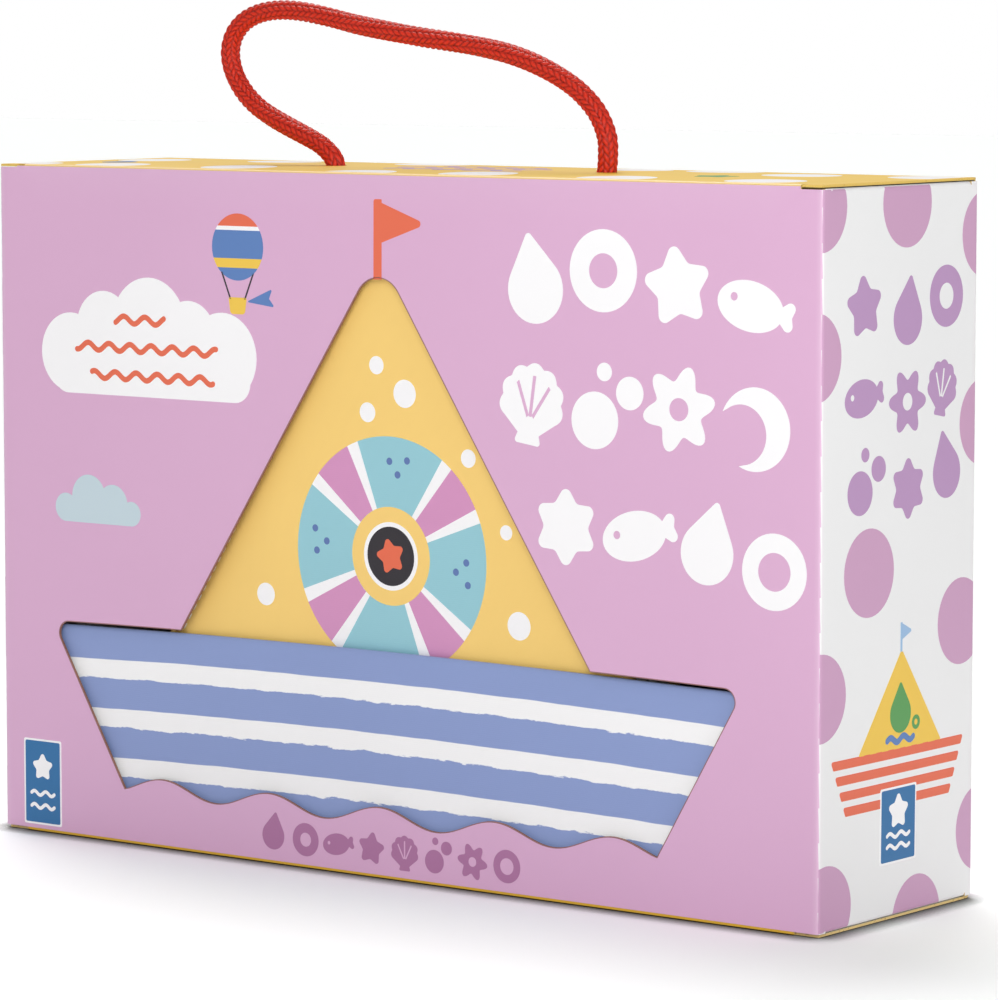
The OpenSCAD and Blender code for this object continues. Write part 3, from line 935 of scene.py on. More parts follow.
def arc(r, turns, x=0.0, y=0.0):
    """Points at the distance r from a middle, one for each turn in radians."""
    return [(x + r * math.cos(t), y + r * math.sin(t)) for t in turns]


def circle(r, x=0.0, y=0.0, n=48):
    return arc(r, [math.tau * i / n for i in range(n)], x, y)


def make_lid():
    side = HALF_W - LID_END_GAP
    ear_x = HALF_W - SLIT_L + LID_END_GAP
    ear_v = lid_v(lid_low.y)
    lock_v = LID_EDGE_V - LOCK_CUT
    front_edge = [(side, LID_UP + BEND), (side, ear_v), (ear_x, ear_v), (ear_x, lock_v),
                  (TUCK_HALF, lock_v), (TUCK_HALF, LID_EDGE_V)]
    outline = [(FOLD_R - HALF_W, 0), (HALF_W, 0), (HALF_W, LID_UP)] + front_edge
    outline += [(-u, v) for u, v in front_edge[::-1]] + [(FOLD_R - HALF_W, LID_UP)]
    holes = [hole_loop(circle(ROPE_HOLE_R, x, lid_v(0))) for x in (-ROPE_X, ROPE_X)]
    rows = [row for row in FOLD_ROWS if 0 < LID_UP + row]
    lines = (level_lines(LID_UP, rows, -HALF_W, HALF_W + 1)
             + level_lines(LID_EDGE_V, (1.0, 2.4), -HALF_W, HALF_W, -1))

    def crease(u, v):
        near = min(abs(v - LID_UP - BEND / 2), abs(v - LID_EDGE_V))
        return max(0.0, 1 - near / CREASE_REACH) ** 1.5

    piece = sheet_solid("folded_lid", [solid_loop(outline)] + holes, lid_place,
                        [YELLOW_PRINT, PINK_PRINT, BARE_INSIDE, LID_EDGE], bottom=-BOARD,
                        lines=lines, step=8, paint=lambda u, v: int(v < LID_UP + BEND / 2),
                        marks={"crease": crease})
    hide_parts("lid_panel")
    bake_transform(piece)


def make_tuck():
    low = BEND + TUCK_DROP

    def place(u, v, h):
        y, z, _ = folded((0.0, TUCK_DROP), (TUCK_FACE + FOLD_R, LID_TOP), math.pi, v, h)
        return -u, y, z

    def crease(u, v):
        return max(0.0, 1 - max(v - BEND, 0) / CREASE_REACH) ** 1.5

    outline = slab(0, low, TUCK_HALF, TUCK_HALF, 0, TUCK_CORNER_R)
    rows = [row for row in FOLD_ROWS if row > 0.01]
    piece = sheet_solid("folded_tuck", [outline], place, [YELLOW_PRINT, BARE_INSIDE, LID_EDGE],
                        bottom=-BOARD, lines=level_lines(0, rows, -HALF_W, HALF_W), step=8,
                        marks={"crease": crease})
    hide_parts("tuck_flap")
    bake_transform(piece)


make_carton()
make_lid()
make_tuck()


# Prints: thin fields of ink laid on a folded sheet or a cloth, with plain shapes in them

INK_H = 0.03


def drop(r):
    """A drop of radius r that hangs from its tip."""
    reach = 1.75 * r
    lean = math.acos(r / reach)
    belly = arc(r, np.linspace(math.pi / 2 + lean, 2.5 * math.pi - lean, 30))
    tip = corner(belly[-1], (0, reach), belly[0], 0.12 * r)
    return [belly + [tuple(p) for p in tip]]


def ring(r, inner=0.42):
    return [circle(r), circle(inner * r)[::-1]]


def star(r, arms=5, inner=0.56, soft=0.16):
    points = []
    for i in range(2 * arms):
        turn = math.pi / 2 + math.pi * i / arms
        reach = r if i % 2 == 0 else inner * r
        points.append((reach * math.cos(turn), reach * math.sin(turn), soft * r))
    return [rounded(points)]


def fish(r):
    body = [(r * 0.95 * math.cos(t) - 0.15 * r, 0.6 * r * math.sin(t))
            for t in np.linspace(0, math.tau, 48, endpoint=False)]
    tail = rounded([(0.5 * r, 0, 0.05 * r), (1.25 * r, -0.62 * r, 0.14 * r),
                    (1.05 * r, 0, 0.1 * r), (1.25 * r, 0.62 * r, 0.14 * r)])
    return [body, solid_loop(tail), circle(0.1 * r, -0.65 * r, 0.12 * r)[::-1]]


def polar(reach, turns):
    """Points at the distance reach(t) from the origin for each turn t."""
    return [(reach(t) * math.cos(t), reach(t) * math.sin(t)) for t in turns]


def shell(r):
    """A fan shell: scallops round its top and a small foot."""
    scallops, droop, spread = 7, 0.16 * math.pi, 1.32
    fan = polar(lambda t: r * (0.9 + 0.1 * abs(math.sin(scallops * (t + droop) / spread))),
                np.linspace(-droop, math.pi + droop, 90))
    fan += [(-0.25 * r, -0.85 * r), (0.25 * r, -0.85 * r)]
    ribs = []
    for turn in (0.24, 0.5, 0.76):
        c, k = math.cos(math.pi * turn), math.sin(math.pi * turn)
        ends = ((0.1 * c * r, -0.35 * r, 1), (0.1 * c * r, -0.35 * r, -1),
                (0.68 * c * r, 0.68 * k * r, -1), (0.68 * c * r, 0.68 * k * r, 1))
        width = 0.05 * r
        ribs.append(hole_loop([(x - side * width * k, y + side * width * c)
                               for x, y, side in ends]))
    return [solid_loop(fan), slab(-1.05 * r, -0.7 * r, 0.42 * r, 0.3 * r, 0.08 * r, 0.05 * r)] + ribs


def flower(r, petals=6):
    points = polar(lambda t: r * (0.82 + 0.18 * math.cos(petals * t)),
                   np.linspace(0, math.tau, 96, endpoint=False))
    return [points, circle(0.26 * r)[::-1]]


def bubbles(r):
    return [circle(0.62 * r, -0.3 * r, -0.2 * r), circle(0.36 * r, 0.62 * r, 0.42 * r),
            circle(0.2 * r, -0.05 * r, 0.85 * r)]


def crescent(r):
    return [solid_loop(arc(r, np.linspace(0.75, 5.53, 44))
                       + arc(0.72 * r, np.linspace(4.95, 1.33, 30), 0.42 * r))]


def wave_band(length, pitch, rise, thick):
    """A wavy stroke with round ends, centred on the origin."""
    across = np.linspace(-length / 2, length / 2, max(12, int(length / pitch * 20)))
    line = [np.array((x, rise * math.sin(math.tau * x / pitch))) for x in across]
    way = [b - a for a, b in zip([line[0]] + line[:-1], line[1:] + [line[-1]])]
    side = [np.array((-w[1], w[0])) / np.linalg.norm(w) * thick / 2 for w in way]
    ends = []
    for point, off, sign in ((line[-1], side[-1], -1), (line[0], side[0], 1)):
        turn = math.atan2(off[1] * -sign, off[0] * -sign)
        ends.append(arc(thick / 2, [turn - math.pi * i / 8 for i in range(1, 8)], *point))
    above = [tuple(p + s) for p, s in zip(line, side)]
    below = [tuple(p - s) for p, s in zip(line, side)]
    return [solid_loop(above + ends[0] + below[::-1] + ends[1])]


def moved(loops, x, y, turn=0.0):
    c, k = math.cos(math.radians(turn)), math.sin(math.radians(turn))
    return [[(x + c * px - k * py, y + k * px + c * py) for px, py in loop] for loop in loops]


def laid_out(signs):
    """The loops of several shapes, each given as (loops, across, up, turn)."""
    return [loop for shape, x, y, turn in signs for loop in moved(shape, x, y, turn)]


def front_place(x, z, h):
    return carton_place(front_u(x), z, h)


def right_place(y, z, h):
    return carton_place(right_u(y), z, h)


def left_place(across, z, h):
    return carton_place(left_u(-across), z, h)


def back_place(across, z, h):
    return carton_place(back_u(-across), z, h)


def top_place(x, y, h):
    """Places on the lid, seen from above with the front below."""
    return lid_place(-x, lid_v(y), h)


INKS = {name: printed_board(name + "_ink", colour) for name, colour in {
    "white": INK_WHITE, "coral": CORAL, "pale_blue": PALE_BLUE, "mauve": MAUVE,
    "purple": PURPLE, "deep_purple": DEEP_PURPLE, "yellow": YELLOW, "blue": MID_BLUE,
    "green": LEAF_GREEN, "dark": DARK_INK, "label": LABEL_BLUE, "flag": FLAG_BLUE,
    "window_shade": WINDOW_SHADE_LINE}.items()}


def print_on(name, loops, place, ink, body="box", layer=1, lines=()):
    piece = sheet_solid(name, loops, place, [INKS[ink]], top=INK_H * layer, bottom=-INK_H,
                        step=5, lines=lines)
    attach(piece, body)


POLE_W = 2.5
POLE_LOW, POLE_TOP = 144.75, 163.9
PENNANT_L, PENNANT_H = 13.6, 11.2


def print_balloon(x, z, r):
    """A toy balloon over the cloud, with its basket and a little streamer."""
    far = 40

    def part(low, high):
        return [clip(circle(r, x, z), (x - far, z + low), (x + far, z + high))]

    ropes = []
    for side in (-1, 1):
        top, foot = x + side * 0.62 * r, x + side * 0.28 * r
        ropes.append(solid_loop([(top - 0.25, z - 0.75 * r), (top + 0.25, z - 0.75 * r),
                                 (foot + 0.25, z - 1.55 * r), (foot - 0.25, z - 1.55 * r)]))
    basket = slab(z - 1.5 * r, z - 2.0 * r, 0.36 * r, 0.28 * r, 0.5, 1.0, x)
    streamer = rounded([(x + 0.34 * r, z - 1.62 * r, 0.2), (x + 1.35 * r, z - 1.2 * r, 0.3),
                        (x + 1.22 * r, z - 1.5 * r, 0.1), (x + 1.45 * r, z - 1.75 * r, 0.3)])
    blue = part(-0.34 * r, 0.5 * r) + part(-r, -0.62 * r) + [solid_loop(streamer)]
    for name, loops, ink in (("blue", blue, "blue"), ("coral", part(0.62 * r, r), "coral"),
                             ("white", part(0.5 * r, 0.62 * r), "white"),
                             ("yellow", part(-0.62 * r, -0.34 * r) + [basket], "yellow"),
                             ("ropes", ropes, "dark")):
        print_on("front_balloon_" + name, loops, front_place, ink)


def print_label(name, place, low, high):
    """A blue label with a pale edge, a star and two waves."""
    (x0, z0), (x1, z1) = low, high
    middle, width, height = (x0 + x1) / 2, x1 - x0, z1 - z0

    def sheet(edge):
        half = width / 2 + edge
        return [slab(z0 - edge, z1 + edge, half, half, 0.5, x=middle)]

    motif = moved(star(0.34 * width), middle, z0 + 0.68 * height)
    for share in (0.36, 0.2):
        motif += moved(wave_band(0.66 * width, 0.33 * width, 0.5, 0.9), middle, z0 + share * height)
    print_on(name + "_edge", sheet(0.5), place, "white", layer=2)
    print_on(name + "_blue", sheet(0.0), place, "label", layer=3)
    print_on(name + "_motif", motif, place, "white", layer=4)


# How far out from the window's edge the line of painted shade begins and ends
SHADE_LINE_IN, SHADE_LINE_OUT = 0.01, 0.24


def window_line():
    """A thin dark line along the window's edge: painted shade where the cut edge meets the recess."""
    edge, inward = inward_from(solid_loop(opening()), 5)
    print_on("window_line", [solid_loop(edge - inward * SHADE_LINE_OUT),
                             hole_loop(edge - inward * SHADE_LINE_IN)], front_place, "window_shade")


def print_front():
    window_line()
    print_label("front_label", front_place, (-118.0, 2.4), (-106.2, 23.4))
    pole_x = BOAT_X - 1.4
    pole = rounded([(pole_x, POLE_LOW, 0.2), (pole_x + POLE_W, POLE_LOW, 0.2),
                    (pole_x + POLE_W, POLE_TOP, 0.2), (pole_x, POLE_TOP, 0.6)])
    pennant = rounded([(pole_x, POLE_TOP, 0.6), (pole_x, POLE_TOP - PENNANT_H, 0.3),
                       (pole_x + POLE_W + PENNANT_L, POLE_TOP - PENNANT_H / 2, 0.9)])
    print_on("front_coral", [solid_loop(pole), solid_loop(pennant)], front_place, "coral")
    print_balloon(-46.0, 151.2, 8.2)

    low = 113.0
    cloud = [circle(10, -101, low + 10.2), circle(9, -90, low + 17), circle(12.3, -75, low + 17.5),
             circle(11, -51, low + 11.0), circle(9, -62, low + 15.5),
             slab(low, low + 14, 32.5, 32.5, 5, 3, -74.5)]
    rows = ((132, 16.0, -78), (125, 46.0, -76), (118, 40.0, -74))
    print_on("front_cloud", cloud, front_place, "white", layer=2)
    print_on("front_cloud_waves", laid_out([(wave_band(length, 7, 0.9, 1.4), x, z, 0)
                                            for z, length, x in rows]),
             front_place, "coral", layer=3)

    low = 80.4
    small_cloud = [circle(3.6, -103.2, low + 3.6), circle(5.6, -95.5, low + 6.6),
                   circle(4.9, -87.4, low + 5.2), circle(3.1, -81.2, low + 3.1),
                   slab(low, low + 6, 11.7, 11.7, 1.5, x=-92.3)]
    print_on("front_small_cloud", small_cloud, front_place, "pale_blue")

    signs = [(drop(8.0), 45, 144, 10), (ring(9.6), 64.5, 149, 0), (star(10.9), 85.5, 146, 8),
             (fish(9.6), 107, 142, -12), (shell(9.4), 44, 117.5, -8),
             (bubbles(10.8), 65.5, 116.5, 0), (flower(10.2), 86, 118, 12),
             (crescent(9.6), 107, 114.5, 200), (star(10.2, arms=6, inner=0.62), 54, 89, 0),
             (fish(9.6), 75, 88.5, 14), (drop(7.3), 94, 85.5, -14), (ring(8.8, 0.5), 112.5, 82.5, 0)]
    print_on("front_signs", laid_out(signs), front_place, "white")

    small = (drop(3.5), ring(4.1), fish(4.4), star(4.7), shell(4.2), bubbles(4.6), flower(4.5),
             ring(4.0, 0.5))
    print_on("front_low_signs", laid_out([(shape, -35.5 + 10.3 * i, 7.1, (-8, 0, 10)[i % 3])
                                          for i, shape in enumerate(small)]),
             front_place, "deep_purple")


def clipped_dots(places, r, low, high):
    return [clip(circle(r, x, y), low, high) for x, y in places]


SIDE_DOTS = ((-33, 165), (2.2, 165), (36, 156.8), (-35, 131.4), (35.4, 112.8), (-13, 81.4),
             (26.5, 66.6), (-32.3, 54.5), (35.5, 16.7), (-29.5, 6), (8.3, -1))
SIDE_DOT_R = 10.2


def wall_dots(name, dots, across_low, across_high, place):
    """Mauve dots on a side wall, cut off in the middle of its creases."""
    over = 0.49 * BEND
    low, high = (across_low - over, SIDE_FOLD_LOW - over), (across_high + over, SIDE_FOLD_TOP + over)
    lines = (upright_lines(across_low, FOLD_ROWS, sign=-1) + upright_lines(across_high, FOLD_ROWS)
             + level_lines(SIDE_FOLD_LOW, FOLD_ROWS, sign=-1) + level_lines(SIDE_FOLD_TOP, FOLD_ROWS))
    print_on(name, clipped_dots(dots, SIDE_DOT_R, low, high), place, "mauve", lines=lines)


def print_sides():
    wall_dots("right_dots", SIDE_DOTS, FRONT + FOLD_R, BACK - FOLD_R, right_place)
    more = ((0, 138), (-16, 99), (12, 108), (8, 45), (-6, 22))
    wall_dots("left_dots", [(-y, z) for y, z in SIDE_DOTS] + list(more),
              BOARD + FOLD_R - BACK, -FRONT - FOLD_R, left_place)

    signs = [(star(8.4), -15.5, 142, 6), (drop(6.0), 2.5, 138.5, -8), (ring(7.2), 19, 143, 0),
             (fish(7.2), -15.5, 121.5, 8), (flower(7.8), 2.5, 119.5, 0), (shell(6.4), 17.4, 122, -10),
             (bubbles(8.2), -14.5, 101.5, 0), (star(8.0, arms=6, inner=0.62), 3, 99.5, 0),
             (drop(6.0), 19.6, 102, 12)]
    print_on("right_signs", laid_out(signs), right_place, "purple")

    sail = rounded([(-16.8, 39.6, 0.3), (18.2, 39.6, 0.3), (0.9, 62.6, 0.8)])
    print_on("right_boat_sail", [solid_loop(sail)], right_place, "yellow")
    print_on("right_boat_green", moved(drop(4.4), 0.6, 47.6) + moved(ring(1.7), 7.2, 45.0),
             right_place, "green", layer=2)
    print_on("right_boat_wave", moved(wave_band(11, 5.5, 0.6, 1.5), 0.6, 41.8), right_place,
             "blue", layer=2)
    flag = rounded([(0.5, 68.8, 0.2), (0.5, 64.6, 0.2), (5.4, 66.6, 0.4)])
    print_on("right_boat_flag", [solid_loop(flag), slab(62.0, 68.8, 0.4, 0.4, 0.1, x=0.7)],
             right_place, "flag")
    hull_top, hull_low, band_h, gap_h = 39.7, 26.5, 2.16, 1.52
    planks = []
    for i in range(4):
        z1 = hull_top - i * (band_h + gap_h)
        z0 = z1 - band_h
        half0, half1 = (21.9 + 6.0 * (z - hull_low) / (hull_top - hull_low) for z in (z0, z1))
        planks.append(slab(z0, z1, half0, half1, 0.5))
    print_on("right_boat_hull", planks, right_place, "coral")
    print_label("right_label", right_place, (-7.0, 13.6), (7.2, 30.4))


def print_back():
    """The back doesn't show in the photo: waves with a few signs above them."""
    print_on("back_waves", laid_out([(wave_band(182 - 22 * i, 22, 3.4, 3.6), 0, 24 + 15 * i, 0)
                                     for i in range(3)]), back_place, "white")
    signs = [(ring(11, 0.5), -72, 104, 0), (drop(8.5), -36, 116, -12), (star(13), 0, 108, 8),
             (bubbles(12), 37, 116, 0), (fish(12), 74, 104, 10)]
    print_on("back_signs", laid_out(signs), back_place, "deep_purple")


TOP_DOTS = ((-112, 12), (-96, -22), (-75, 20), (-57, -19), (-30, 24), (-12, -28), (20, -22),
            (34, 22), (62, -24), (58, 26), (88, 14), (101, -20), (118, 22), (-122, -26))


def print_top():
    side, edge = HALF_W - 1.4, 2.4
    dots = clipped_dots(TOP_DOTS, 9.5, (-side, TUCK_FACE + edge), (side, BACK - edge))
    print_on("top_dots", dots, top_place, "white", "lid")
    print_on("top_waves", laid_out([(wave_band(44 - abs(y), 9, 1.9, 3.0), 0, y, 0)
                                    for y in (-6.5, 2.5, 11.5)]), top_place, "purple", "lid")
    print_on("top_drop", moved(drop(4.6), -108, -6, 20), top_place, "blue", "lid")
    print_on("top_star", moved(star(6.5), 76, -4, 10), top_place, "green", "lid")


print_front()
print_sides()
print_back()
print_top()


# The rope's route, as in the part's source, over the lid's face
ROPE_ROUTE = [
    (-41.5, 0, -0.9), (-41.8, 0, 1), (-43.2, 0, 3), (-46.5, 0, 5.4), (-51.5, 0, 7.6),
    (-57, 0, 9.8), (-62.5, 0, 12.2), (-67.5, 0, 15), (-71.8, 0, 18.8), (-74.8, 0, 23.4),
    (-75.8, 0, 28.2), (-74.4, 0, 32.6), (-70.8, 0, 36), (-65.5, 0, 38), (-59, 0, 38.7),
    (-52, 0, 38.3), (-44, 0, 37), (-35, 0, 35.2), (-25, 0, 33.6), (-15, 0, 32.2),
    (-5, 0, 31), (4, 0, 29.8), (12.5, 0, 28.2), (20.5, 0, 25.8), (28, 0, 22.6),
    (34, 0, 19), (38.8, 0, 14.4), (41.6, 0, 9), (42, 0, 4), (41.5, 0, -0.9)]
ROPE_CREST_R = 2.48
BRAID_COLUMNS = 10
STITCH_PITCH = 1.85
BRAID_RELIEF = 0.55
BRAID_TWIST = 1 / 210


def run_along(line):
    """How far along an open line each of its points lies."""
    return np.concatenate([[0], np.cumsum(np.linalg.norm(np.diff(line, axis=0), axis=1))])


def points_at(where, run, line):
    """The points of a line at the given distances along it."""
    return np.stack([np.interp(where, run, values) for values in line.T], axis=1)


def smooth_line(points, gap, closed=False):
    """Points gap apart along a smooth curve through the given ones."""
    p = np.array(points, float)
    if closed:
        p = np.vstack([p[-1], p, p[0], p[1]])
    else:
        p = np.vstack([2 * p[0] - p[1], p, 2 * p[-1] - p[-2]])
    fine = []
    for a, b, c, d in zip(p, p[1:], p[2:], p[3:]):
        for t in np.linspace(0, 1, 24, endpoint=False):
            fine.append(0.5 * (2 * b + (c - a) * t + (2 * a - 5 * b + 4 * c - d) * t * t
                               + (3 * b - a - 3 * c + d) * t ** 3))
    fine.append(p[-2])
    fine = np.array(fine)
    s = run_along(fine)
    count = max(2, round(s[-1] / gap))
    return points_at(np.linspace(0, s[-1], count + 1), s, fine), s[-1]


def braid_height(turn, s):
    """The height of a braid's surface, 0 to 1, at turns round the rope and s along it."""
    column = turn * BRAID_COLUMNS
    number = np.floor(column)
    off = 2 * (column - number) - 1
    lean = np.where(number % 2 == 0, 1.0, -1.0)
    along = s / STITCH_PITCH + 0.42 * off * lean + 0.25 * lean
    across = 2 * (along - np.floor(along)) - 1
    return np.sqrt(1 - across ** 2 * 0.97) * (1 - off ** 2 * 0.9) ** 0.45


def braided_tube(line, radius, sides, closed=False):
    """A rope's braided skin along a line: its points, faces and how deep each point lies."""
    n = len(line)
    way = np.gradient(line, axis=0)
    if closed:
        way = np.roll(line, -1, axis=0) - np.roll(line, 1, axis=0)
    way /= np.linalg.norm(way, axis=1)[:, None]
    side = np.cross(way[0], (0, 0, 1) if abs(way[0][2]) < 0.9 else (0, 1, 0))
    sides_of = []
    for w in way:
        side = side - w * (side @ w)
        side /= np.linalg.norm(side)
        sides_of.append(side)
    across = np.array(sides_of)
    other = np.cross(way, across)
    if closed:
        slip = math.atan2(across[-1] @ other[0], across[-1] @ across[0])
        drift = -slip * np.arange(n) / n
        across, other = (across * np.cos(drift)[:, None] + other * np.sin(drift)[:, None],
                         other * np.cos(drift)[:, None] - across * np.sin(drift)[:, None])
    s = run_along(line)
    turns = np.arange(sides) / sides
    height = braid_height((turns[None, :] + s[:, None] * BRAID_TWIST) % 1.0, s[:, None])
    r = radius - BRAID_RELIEF * (1 - height)
    c, k = np.cos(math.tau * turns), np.sin(math.tau * turns)
    verts = (line[:, None, :] + r[:, :, None] * (across[:, None, :] * c[None, :, None]
                                                 + other[:, None, :] * k[None, :, None]))
    rows = n if closed else n - 1
    faces = [(i * sides + j, i * sides + (j + 1) % sides,
              (i + 1) % n * sides + (j + 1) % sides, (i + 1) % n * sides + j)
             for i in range(rows) for j in range(sides)]
    if not closed:
        faces.append(tuple(range(sides))[::-1])
        faces.append(tuple((n - 1) * sides + j for j in range(sides)))
    return verts.reshape(-1, 3), faces, 1 - height.ravel()


def make_rope():
    points = [(x, y, LID_TOP + z) for x, y, z in ROPE_ROUTE]
    line, length = smooth_line(points, 0.24)
    verts, faces, valley = braided_tube(line, ROPE_CREST_R, 64)
    rope = new_piece("braided_rope", verts, faces, [ROPE_YARN], smooth_angle=60,
                     marks={"valley": valley})
    fit(rope, "rope_handle", "lid")
    knots = [make_knot("knot_at_left", "knot_left", -1),
             make_knot("knot_at_right", "knot_right", 1)]


def make_knot(name, replaced, side):
    """An overhand knot pulled tight under the lid, with its cut tail."""
    strand = 2.05
    wide = (knot_high.x - knot_low.x) / 2 - strand - 0.15
    tall = (knot_high.z - knot_low.z) / 2 - strand - 0.2
    middle = np.array((side * ROPE_X, 0, (knot_low.z + knot_high.z) / 2))
    turns = np.linspace(0, math.tau, 36, endpoint=False)
    loop = [(wide * (math.sin(t) + 2 * math.sin(2 * t)) / 3,
             side * wide * (math.cos(t) - 2 * math.cos(2 * t)) / 3,
             -tall * math.sin(3 * t)) for t in turns]
    lines = [(smooth_line(loop, 0.4, closed=True)[0][:-1], strand, True),
             (smooth_line([(0, 0, tall + strand + 0.2), (0, 0, 3), (0.6, 0.4, 0)], 0.4)[0],
              strand, False),
             (smooth_line([(0.8, 0.6, 0), (1.6, 1.2, -4), (2.4, 1.4, -tall - strand)], 0.4)[0],
              strand * 0.95, False)]
    verts, faces, valleys = [], [], []
    for line, radius, closed in lines:
        v, f, valley = braided_tube(line + middle, radius, 40, closed)
        faces += [tuple(i + sum(len(x) for x in verts) for i in face) for face in f]
        verts.append(v)
        valleys.append(valley)
    piece = new_piece(name, np.vstack(verts), faces, [ROPE_YARN], smooth_angle=60,
                      marks={"valley": np.concatenate(valleys)})
    fit(piece, replaced, "lid")
    return piece


make_rope()


# The cloth boat and the cloth book: padded layers that stand upright, and the strips between them

BOAT_REACH = 6.0
BOAT_DROP = 1.1
BOAT_CORNER_R = 4.0
BOAT_BILGE_R = 9.0
GUSSET_T = 3.0
CLOTH_ROOM = 0.3
BOOK_REACH = 6.0
BOOK_CORNER_R = 12.0
BOOK_TOP_R = 10.0
COVER_T = 3.5
PAGES_T = 11.0
SPINE_T = 1.5
SPINE_LOW, SPINE_HIGH = 50.0, 130.0
POCKET_T = 1.5
BOAT_RIM = OPEN_TOP_Z - BOAT_DROP
BOOK_FOOT = cover_low.z
BOOK_PEAK = arch_z(SAIL_FOOT_W / 2) + SAIL_RISE + BOOK_REACH * SAIL_SLANT / SAIL_SLOPE
BOOK_TOP = BOOK_PEAK - BOOK_TOP_R * (SAIL_SLANT / SAIL_SLOPE - 1)
# The book leans over the boat's rim, with its top behind the tuck flap
RIM_TOP = BOAT_RIM + OPEN_ARCH
BOOK_LEAN = math.atan((front_side_high.y - tuck_high.y) / (BOOK_TOP - RIM_TOP))
BOOK_FOOT_Y = front_side_high.y + CLOTH_ROOM + (RIM_TOP - BOOK_FOOT) * math.tan(BOOK_LEAN)
PAD_REACH = 5.5
PAD_RINGS = (0.35, 0.9, 1.8, 3.2, 5.5)


def boat_half(z, inset):
    return (OPEN_TIP_W / 2 + (z - OPEN_TIP_Z) * OPEN_SLOPE
            + (BOAT_REACH - inset) * OPEN_SLANT)


def book_half(z):
    return (BOOK_PEAK - z) * SAIL_SLOPE


def at_boat(points):
    return solid_loop([(x + BOAT_X, z) for x, z in rounded(points)])


def boat_outline(inset=0.0, lift=0.0):
    """The boat from the front, drawn in by inset at its ends and its floor."""
    rim, low = BOAT_RIM + lift, FLOOR_Z + inset
    top_r = 0 if lift else BOAT_CORNER_R
    points = [(-boat_half(rim, inset), rim, top_r)]
    points += [(x, arch_z(x) - BOAT_DROP + lift, 0)
               for x in np.linspace(-0.8, 0.8, 17) * OPEN_TOP_W / 2]
    points += [(boat_half(rim, inset), rim, top_r),
               (boat_half(low, inset), low, BOAT_BILGE_R - inset),
               (-boat_half(low, inset), low, BOAT_BILGE_R - inset)]
    return at_boat(points)


def float_outline():
    top, low, inset = float_high.z, float_low.z, GUSSET_T + CLOTH_ROOM
    return slab(top, low, boat_half(top, inset), boat_half(low, inset), 2,
                BOAT_BILGE_R - GUSSET_T, BOAT_X)


def book_outline():
    """A layer of the book, drawn in where the spine's strip covers its left edge."""
    foot, inward = BOOK_FOOT, SPINE_T * SAIL_SLANT
    points = [(-book_half(foot), foot, BOOK_CORNER_R), (book_half(foot), foot, BOOK_CORNER_R),
              (0, BOOK_PEAK, BOOK_TOP_R),
              (-book_half(SPINE_HIGH), SPINE_HIGH, 0.6),
              (inward - book_half(SPINE_HIGH), SPINE_HIGH, 0.2),
              (inward - book_half(SPINE_LOW), SPINE_LOW, 0.2),
              (-book_half(SPINE_LOW), SPINE_LOW, 0.6)]
    return at_boat(points)


def rise(half, drop, reach_in):
    """A pad's height off its middle, which drops towards its edge as a rounded seam does."""
    def height(reach):
        t = 1 - np.minimum(reach / reach_in, 1)
        return half - drop * (1 - np.sqrt(1 - t * t))
    return height


def softened(u, v):
    """A pad's slow unevenness, as a share of its height."""
    return 1 - 0.02 * (1 + math.sin(u / 11 + v / 23) * math.sin(v / 9 - u / 31))


def upright_place(y_low, y_high):
    """Places off the middle of a layer between two depths, with h towards the front."""
    middle = (y_low + y_high) / 2
    return lambda u, v, h: (u, middle - h * softened(u, v), v)


def book_place(depth_low, depth_high):
    """Places off the middle of a layer of the leaning book, at depths from its front."""
    middle = (depth_low + depth_high) / 2
    c, k = math.cos(BOOK_LEAN), math.sin(BOOK_LEAN)

    def place(u, v, h):
        depth, up = middle - h * softened(u, v), v - BOOK_FOOT
        return u, BOOK_FOOT_Y + c * depth - k * up, BOOK_FOOT + k * depth + c * up
    return place


def pad(name, loops, place, thick, material):
    """A padded layer with rounded edges."""
    face = rise(thick / 2 / 0.98, 0.33 * thick, PAD_REACH)
    piece = sheet_solid(name, loops, place, [material], top=face,
                        bottom=lambda reach: -face(reach), rings=PAD_RINGS, gap=2.6, step=7,
                        smooth_angle=50)
    return piece


def block(name, loops, place, thick, material, soft):
    """A block with its edges rounded by soft."""
    face = rise(thick / 2, soft, soft)
    return sheet_solid(name, loops, place, [material], top=face,
                       bottom=lambda reach: -face(reach), step=9, gap=3,
                       rings=[soft * share for share in (0.15, 0.45, 1)], smooth_angle=50)


def stitches(name, line, place, body, height, length=1.9, gap=1.1, r=0.16):
    """A row of thread stitches along a line of (across, up) points."""
    s = run_along(line)
    verts, faces = [], []
    for start in np.arange(gap / 2, s[-1] - length, length + gap):
        spots = points_at(start + length * np.array((0, 0.12, 0.5, 0.88, 1)), s, line)
        way = (spots[-1] - spots[0]) / np.linalg.norm(spots[-1] - spots[0])
        side = np.array((-way[1], way[0]))
        first = len(verts)
        for spot, up in zip(spots, (-0.14, 0.06, 0.12, 0.06, -0.14)):
            for turn in range(6):
                a = math.tau * turn / 6
                u, v = spot + side * r * math.cos(a)
                verts.append(place(u, v, height + up + r * math.sin(a)))
        faces += [(first + i * 6 + j, first + i * 6 + (j + 1) % 6,
                   first + (i + 1) * 6 + (j + 1) % 6, first + (i + 1) * 6 + j)
                  for i in range(4) for j in range(6)]
        faces += [tuple(first + j for j in range(6))[::-1], tuple(first + 24 + j for j in range(6))]
    piece = new_piece(name, verts, faces, [THREAD], smooth_angle=60)
    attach(piece, body)
    return piece


def join(pieces):
    with bpy.context.temp_override(active_object=pieces[0], object=pieces[0],
                                   selected_objects=pieces, selected_editable_objects=pieces):
        bpy.ops.object.join()
    return pieces[0]


